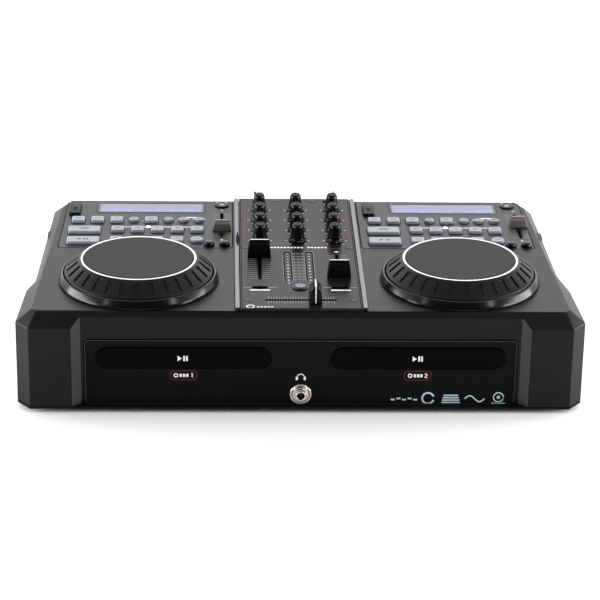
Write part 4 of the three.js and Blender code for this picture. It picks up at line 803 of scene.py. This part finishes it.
# a tall rounded key; an oval thumb dish sinks its front half: depth follows the root of one less the oval's
# squared radius
def ejectCap():
    sides = [(10.8, 30, 2.5, -2.4), (10.8, 30, 2.5, 2.3), (10.5, 29.7, 2.5, 2.9), (9.8, 29.0, 2.3, 3.3)]
    inner = [(9.8 * s, 29.0 * s, 2.3 * s, 3.4) for s in np.linspace(0.93, 0.05, 12)]
    points, quads, triangles = stacked(sides + inner, 9)
    dish = np.clip(1 - (points[:, 0] / 4.7) ** 2 - ((points[:, 1] + 6.6) / 7.8) ** 2, 0, 1)
    points[:, 2] -= np.where(points[:, 2] > 2.5, 2.2 * np.sqrt(dish), 0)
    return points, quads, triangles


display = {"x": 2.9, "y": 121.4, "width": 107.4, "depth": 28.4, "border": 2.2, "litHalfWidth": 49, "litLow": 108.6,
           "litHigh": 119.6, "columns": 34}
pitchScale = {"x": 73.7, "y": 74.0, "travel": 60, "ticks": 13}
panelTaper = 3.6  # the panel's outer rear corner is cut back by this


# keys, dials and buttons of one deck
def deckKeys(side, panelX, modeX):
    z = deckTop + keyForm["rise"] - 0.07
    places = [(panelX + x, y, kind) for y, row, kind in keyRows for x in row]
    keypad = side + "_keypad"
    putPiece(side + "_keys", joined(*[moved(capOf(kind), x, y, deckTop) for x, y, kind in places]), "keySilver",
             keypad, [keypad])
    marks = [keySymbol(number, x, y, z) for number, (x, y, _) in enumerate(places)]
    putPiece(side + "_key_marks", joined(*marks), "darkInk", keypad)
    centre = lathe(eased([(0, 0.9), (3.0, 0.9), (3.0, 1.45), (2.3, 1.6), (0, 1.6)], 0.3), 32)
    for name, shape, finish in (("_mode_ring", roundCap(keyForm["mode"], keyForm["modeRise"]), "capBlack"),
                                ("_mode_centre", centre, "keySilver")):
        putPiece(side + name, moved(shape, panelX + modeX, 127, deckTop), finish, keypad)

    keyMarks = {"cue": joined(bar(0, 1.1, 11, 1.0), bar(0, -1.1, 7.5, 1.0)),
                "play": playMark([(-5.2, -2.0), (-1.4, 0.0), (-5.2, 2.0)], (1.6, 0, 1.3, 4), (4.2, 0, 1.3, 4))}
    for key, mark in keyMarks.items():
        node = f"{side}_{key}_button"
        onNode(node, "_cap", keyCap(31.8, 16, 1.9, keyForm["rise"]), deckTop, "keySilver", True)
        onNode(node, "_mark", mark, z, "darkInk")
    profile = eased([(5.1, -1.9), (5.1, 1.6), (4.6, 3.3), (3.2, 4.5), (0.1, 5.0)], 1.2, 5)
    dome = lathe([(0, -3.1), (5.7, -3.1), (5.7, -1.9), *profile], 48)
    for sense in ("minus", "plus"):
        onNode(f"{side}_bend_{sense}_button", "_dome", dome, deckTop, "knobBlack", stands=True)
    onNode(side + "_eject_button", "_cap", ejectCap(), deckTop, "ejectBlack", stands=True)


# a frame, a smoked pane and a lit strip with small segments
def deckDisplay(side):
    x, y, _ = middle(side + "_display_window")
    d = display
    width, depth = d["width"] - 2 * d["border"], d["depth"] - 2 * d["border"]
    outer, inner = roundedRing(d["width"], d["depth"], 1.5), roundedRing(width, depth, 0.8)
    loop = [(outer, -1.4), (outer, 0.1), (outer * 0.998, 0.28), (inner * 1.004, 0.28), (inner, 0.1), (inner, -1.4)]
    putPiece(side + "_display_frame", moved(layered(loop, True), x, y, deckTop), "displayFrame", "case",
             [side + "_display_window"])
    pane = stacked([(width + 0.2, depth + 0.2, 0.8, z) for z in (-1.2, -0.2)])
    putPiece(side + "_display_pane", moved(pane, x, y, deckTop), "displayDark", "case")
    reach = d["litHalfWidth"]
    lit = slab(x - reach, x + reach, d["litLow"], d["litHigh"], deckTop - 0.21, deckTop - 0.13)
    putPiece(side + "_display_lit", lit, "displayLit", "case")
    segments = []
    for i in range(d["columns"]):
        segmentX = x - 46.5 + i * 93 / (d["columns"] - 1)
        for segmentY, height in ((d["litLow"] + 4.2, 4.6), (d["litHigh"] - 1.8, 1.6)):
            if (i * 7 + int(segmentY)) % 5:
                segments.append(slab(segmentX - 0.85, segmentX + 0.85, segmentY - height / 2, segmentY + height / 2,
                                     deckTop - 0.14, deckTop - 0.09))
    putPiece(side + "_display_segments", joined(*segments), "displaySegment", "case")


# painted shade in the seams: dark closed bands round the keys, and one round the panel
def deckSeamShade(side, sign, panelX):
    shadeBands = []
    for rowY, places, kind in keyRows:
        size = (2 * keyForm["round"] if kind == "round" else keyForm["width"]) + 0.5
        bend = {"round": 5, "oval": 5.6, "square": 1.5}[kind]
        outline = roundedRing(size, size, bend, 6)
        shadeBands += [ribbon(outline + (panelX + x, rowY - 0.2), 0.9, deckTop, closed=True) for x in places]
    longKey = ((32.4, 16.6), 2.2, 1.0, -0.25)
    for name, (size, bend, width, shift) in (("cue", longKey), ("play", longKey),
                                             ("eject", ((11.5, 30.7), 2.8, 0.7, 0))):
        x, y, _ = middle(f"{side}_{name}_button")
        shadeBands.append(ribbon(roundedRing(*size, bend, 6) + (x, y + shift), width, deckTop, closed=True))
    near, far = low(side + "_control_panel"), high(side + "_control_panel")
    rearLeft = (near[0] + (panelTaper if sign < 0 else 0), far[1])
    rearRight = (far[0] - (panelTaper if sign > 0 else 0), far[1])
    outline = eased([rearRight, (far[0], near[1]), (near[0], near[1]), rearLeft], 2.5, 5)
    shadeBands.append(ribbon(outline, 0.9, deckTop))
    shadeBands.append(ribbon(np.linspace(rearRight, rearLeft, 4), 0.9, deckTop - 0.01))
    putPiece(side + "_panel_seams", joined(*shadeBands), "seamBlack", "case")


# printed frames, dots, arcs and strokes of one deck, and its lamp
def deckPrint(side, panelX, modeX):
    white, grey, pink = [], [], []
    for i in range(5):
        target = pink if i in (3, 4) else white
        place = (panelX + keyForm["first"] + keyForm["pitch"] * i, 68.2)
        target.append(ribbon(roundedRing(8.4, 2.6, 1.3, 4) + place, 0.7, deckTop, closed=True))
    for i in range(4):
        place = (panelX - 18.6 + keyForm["pitch"] * i, 68.2)
        white.append(ribbon(roundedRing(6.6, 2.2, 1.1, 4) + place, 0.6, deckTop, closed=True))
    white += [dot(panelX + dx, 84.5, 0.5, deckTop) for dx in (-21.6, -4.6, 12.5, 28.5)]
    white += [ribbon(arcLine(7.4, 35, 145, 12, panelX + dx, 84.8), 0.9, deckTop) for dx in (35.95, 51.05)]
    white.append(bar(panelX + 43.5, 94.6, 13, 1.8, deckTop))
    scaleX = panelX + pitchScale["x"]
    for i in range(pitchScale["ticks"]):
        lineY = pitchScale["y"] + pitchScale["travel"] * (i / (pitchScale["ticks"] - 1) - 0.5)
        grey += [bar(scaleX + flank * 6.6, lineY, 6.4, 0.8, deckTop) for flank in (-1, 1)]
    white += [bar(scaleX, 115, 3.0, 0.8, deckTop), bar(scaleX, 34.6, 3.0, 0.8, deckTop),
              bar(scaleX, 34.6, 0.8, 3.0, deckTop)]
    white += [bar(panelX + modeX + dx, 136.2, 2.6, 0.9, deckTop) for dx in (-4, 0, 4)]
    for name, shapes, finish in (("_panel_print", white, "whiteInk"), ("_panel_scale", grey, "greyInk"),
                                 ("_panel_accent", pink, "pinkInk"),
                                 ("_panel_lamp", [dot(panelX + 1.5, 68.2, 2.2, deckTop, 0.5, 24)], "lampBlue")):
        putPiece(side + name, joined(*shapes), finish, "case")


for side, sign in decks:
    panelX = middle(side + "_display_window")[0] - display["x"]
    modeX = 73.7 if sign < 0 else 68.4
    deckKeys(side, panelX, modeX)
    deckDisplay(side)
    deckSeamShade(side, sign, panelX)
    deckPrint(side, panelX, modeX)
print("control panels done")


# a turned dished ring with a rolled rim, a barrel that stands out of it and a hole; its height runs forward
def phoneJack():
    profile = [(6.2, 24.0), (10.1, 24.0), (10.3, 24.6), (10.15, 25.6), (9.6, 26.15), (8.9, 26.1), (7.4, 25.0),
               (6.4, 24.75), (5.2, 24.9), (5.2, 29.5), (4.9, 30.05), (4.2, 30.2), (3.6, 30.0), (3.5, 29.6),
               (3.5, 3.0)]
    return lathe([(0, 0), (6.2, 0), *eased(profile, 0.4, 3), (0, 3.0)], 96)


x, _, z = middle("headphone_jack")
putPiece("headphone_socket", turned(phoneJack(), "X", 90, (x, high("headphone_jack")[1], z)), "nickel", "case",
         ["headphone_jack"])

# legends of the front, drawn flat with their height as y
frontMarks = {"labelZ": 35.0, "label": (24, 9.0), "trayMarkZ": 52.5, "tealLift": 1.8}
numerals = {"left": [(-0.9, 1.4), (0.3, 2.0), (0.3, -2.0)],
            "right": [(-1.3, 1.4), (0, 2.0), (1.3, 1.1), (-1.3, -1.9), (1.4, -1.9)]}
white, red = [ribbon(arcLine(3.4, 0, 180, 20, 0, 33.0), 0.9)], []
for flank in (-1, 1):
    white.append(moved(stacked([(2.0, 3.6, 0.6, 0), (2.0, 3.6, 0.6, paint)], 4), flank * 3.6, 32.2))
for side, sign in decks:
    tray, labelZ = middle(side + "_disc_tray"), frontMarks["labelZ"]
    red.append(ribbon(roundedRing(*frontMarks["label"], 2.6, 6) + (tray[0], labelZ), 0.55, closed=True))
    white.append(ribbon(np.array(numerals[side]) + (tray[0] + 7.6, labelZ), 1.0))
    white.append(ribbon(arcLine(1.7, 0, 345, 20, tray[0] - 7.0, labelZ), 1.0))
    white += [bar(tray[0] - 2.6 + 3.0 * i, labelZ, 2.1, 3.0) for i in range(3)]
wave = np.stack([np.linspace(151.5, 169.5, 24), 10 + 3.0 * np.sin(np.linspace(0, 6.28, 24))], 1)
teal = [*[bar(85 + 5.2 * i, 9 + (i % 2) * 1.2, 3.6, 1.6) for i in range(5)],
        ribbon(arcLine(5.4, 20, 340, 24, 117.5, 10.5), 1.6),
        *[bar(138.5, 6.2 + 2.4 * i, 17 - 1.2 * i, 1.3) for i in range(4)],
        ribbon(wave, 1.2), ribbon(arcLine(4.6, 0, 345, 22, 182.5, 11.5), 1.0), dot(182.5, 11.5, 1.6),
        bar(182.5, 5.4, 13, 0.9)]
near, far = low("front_fascia"), high("front_fascia")
# a thin lighter band on the bead round the front: a painted highlight along the bead's edge
bead = ribbon(roundedRing(far[0] - near[0] - 1.2, far[2] - near[2] - 1.2, 3.4, 8)
              + ((near[0] + far[0]) / 2, (near[2] + far[2]) / 2), 0.7, 0, 0.08, closed=True)
putPiece("fascia_bead", stoodUp(bead, near[1]), "beadPaintedSheen", "case")
for name, shapes, lift in (("whiteInk", white, 0), ("redInk", red, 0), ("tealInk", teal, frontMarks["tealLift"])):
    putPiece("fascia_" + name, stoodUp(moved(joined(*shapes), 0, lift), faceY), name, "case")
for side, _ in decks:
    body = side + "_disc_tray"
    mark = playMark([(-5.4, -2.6), (-1.4, 0), (-5.4, 2.6)], (0.6, 0, 1.6, 5.2), (3.2, 0, 1.6, 5.2))
    mark = moved(mark, middle(body)[0], frontMarks["trayMarkZ"])
    putPiece(side + "_tray_mark", stoodUp(mark, low("left_disc_tray")[1]), "whiteInk", body)

phono = {"x": -60, "pitch": 20, "z": 38, "rowPitch": 17, "inner": 1.7, "outer": 3.2}
for colour, finish, row in (("white", "plugWhite", 0.5), ("red", "plugRed", -0.5)):
    inner, outer = phono["inner"], phono["outer"]
    insert = lathe([(inner, 0), (outer, 0), (outer, 0.5), (inner, 0.5)], 32, True)
    places = [(phono["x"] + (column - 1.5) * phono["pitch"], high("rca_jack_block")[1] - 0.55,
               phono["z"] + row * phono["rowPitch"]) for column in range(4)]
    putPiece("phono_" + colour, joined(*[turned(insert, "X", -90, place) for place in places]), finish, "case")
print("front and rear done")


# one wide square
def stageFloor(size):
    mesh = bpy.data.meshes.new("floor")
    mesh.from_pydata([(-size, -size, 0), (size, -size, 0), (size, size, 0), (-size, size, 0)], [], [(0, 1, 2, 3)])
    material, tree, shader = newMaterial("paleFloor")
    wire(tree, shader, {"Base Color": (0.98, 0.98, 0.98, 1), "Roughness": 0.9, "Specular IOR Level": 0.0})
    mesh.materials.append(material)
    floor = bpy.data.objects.new("floor", mesh)
    link(floor)


stageFloor(6.0)

studio = {
    "back": 1.5, "front": 0.04, "highFade": 0.8, "colour": (1.0, 0.985, 1.03),
    "lamps": [
        # place, aim, width, height, radiance
        ((1.15, -0.16, 0.20), (0.0, -0.10, 0.08), 1.0, 0.38, 13.0),
        ((-1.15, -0.16, 0.20), (0.0, -0.10, 0.08), 1.0, 0.38, 13.0),
        ((0.75, -0.75, 0.75), (0.0, 0.0, 0.10), 0.05, 0.6, 30.0),
        ((-0.85, -0.75, 0.70), (0.0, 0.0, 0.10), 0.05, 0.6, 14.0),
        ((0.0, 0.62, 0.45), (0.0, 0.0, 0.10), 1.9, 0.36, 1.6),
        ((0.0, 0.75, 1.25), (0.0, 0.0, 0.10), 1.6, 0.12, 14.0),
    ],
}


# a bright surround behind, dimmer overhead and dark in front: the strength is a ramp of the direction's y
# times a ramp of its z
def studioWorld():
    world = bpy.data.worlds.new("studio")
    bpy.context.scene.world = world
    world.use_nodes = True
    tree = world.node_tree
    parts = addNode(tree, "SeparateXYZ", {0: tree.nodes.new("ShaderNodeTexCoord").outputs["Generated"]})
    ramp = addNode(tree, "MapRange", {"Value": parts.outputs["Y"], "From Min": -0.62, "From Max": 0.05,
                                      "To Min": studio["front"], "To Max": studio["back"]})
    fade = addNode(tree, "MapRange", {"Value": parts.outputs["Z"], "From Min": 0.35, "From Max": 0.8,
                                      "To Min": 1.0, "To Max": studio["highFade"]})
    product = addNode(tree, "Math", {0: ramp.outputs["Result"], 1: fade.outputs["Result"]}, operation="MULTIPLY")
    wire(tree, tree.nodes["Background"], {"Strength": product.outputs["Value"], "Color": (*studio["colour"], 1)})


studioWorld()
for number, (place, aim, width, height, radiance) in enumerate(studio["lamps"]):
    lamp = bpy.data.lights.new(f"softbox{number}", "AREA")
    lamp.shape = "RECTANGLE"
    lamp.size, lamp.size_y = width, height
    lamp.energy = radiance * math.pi * width * height
    holder = bpy.data.objects.new(f"softbox{number}", lamp)
    holder.location = place
    holder.rotation_euler = (Vector(aim) - Vector(place)).to_track_quat("-Z", "Y").to_euler()
    link(holder)

view = {"place": (-0.07202, -2.16382, 0.97165), "lens": 145.87, "pitch": 23.0853, "yaw": 1.98771, "roll": 0.94338}


# the camera looks along yaw and pitch, and is then rolled about its own axis
def viewCamera():
    pitch, yaw, roll = (math.radians(view[k]) for k in ("pitch", "yaw", "roll"))
    forward = Vector((math.sin(yaw) * math.cos(pitch), math.cos(yaw) * math.cos(pitch), -math.sin(pitch)))
    right = Vector((math.cos(yaw), -math.sin(yaw), 0))
    up = right.cross(forward)
    right, up = (right * math.cos(roll) + up * math.sin(roll), up * math.cos(roll) - right * math.sin(roll))
    data = bpy.data.cameras.new("view")
    data.lens, data.sensor_width, data.clip_end = view["lens"], 36, 50
    camera = bpy.data.objects.new("view", data)
    matrix = Matrix((right, up, -forward)).transposed().to_4x4()
    matrix.translation = Vector(view["place"])
    camera.matrix_world = matrix
    link(camera)
    bpy.context.scene.camera = camera


viewCamera()
bpy.context.scene.view_settings.view_transform = "Standard"
bpy.context.view_layer.update()

print("scene ready")
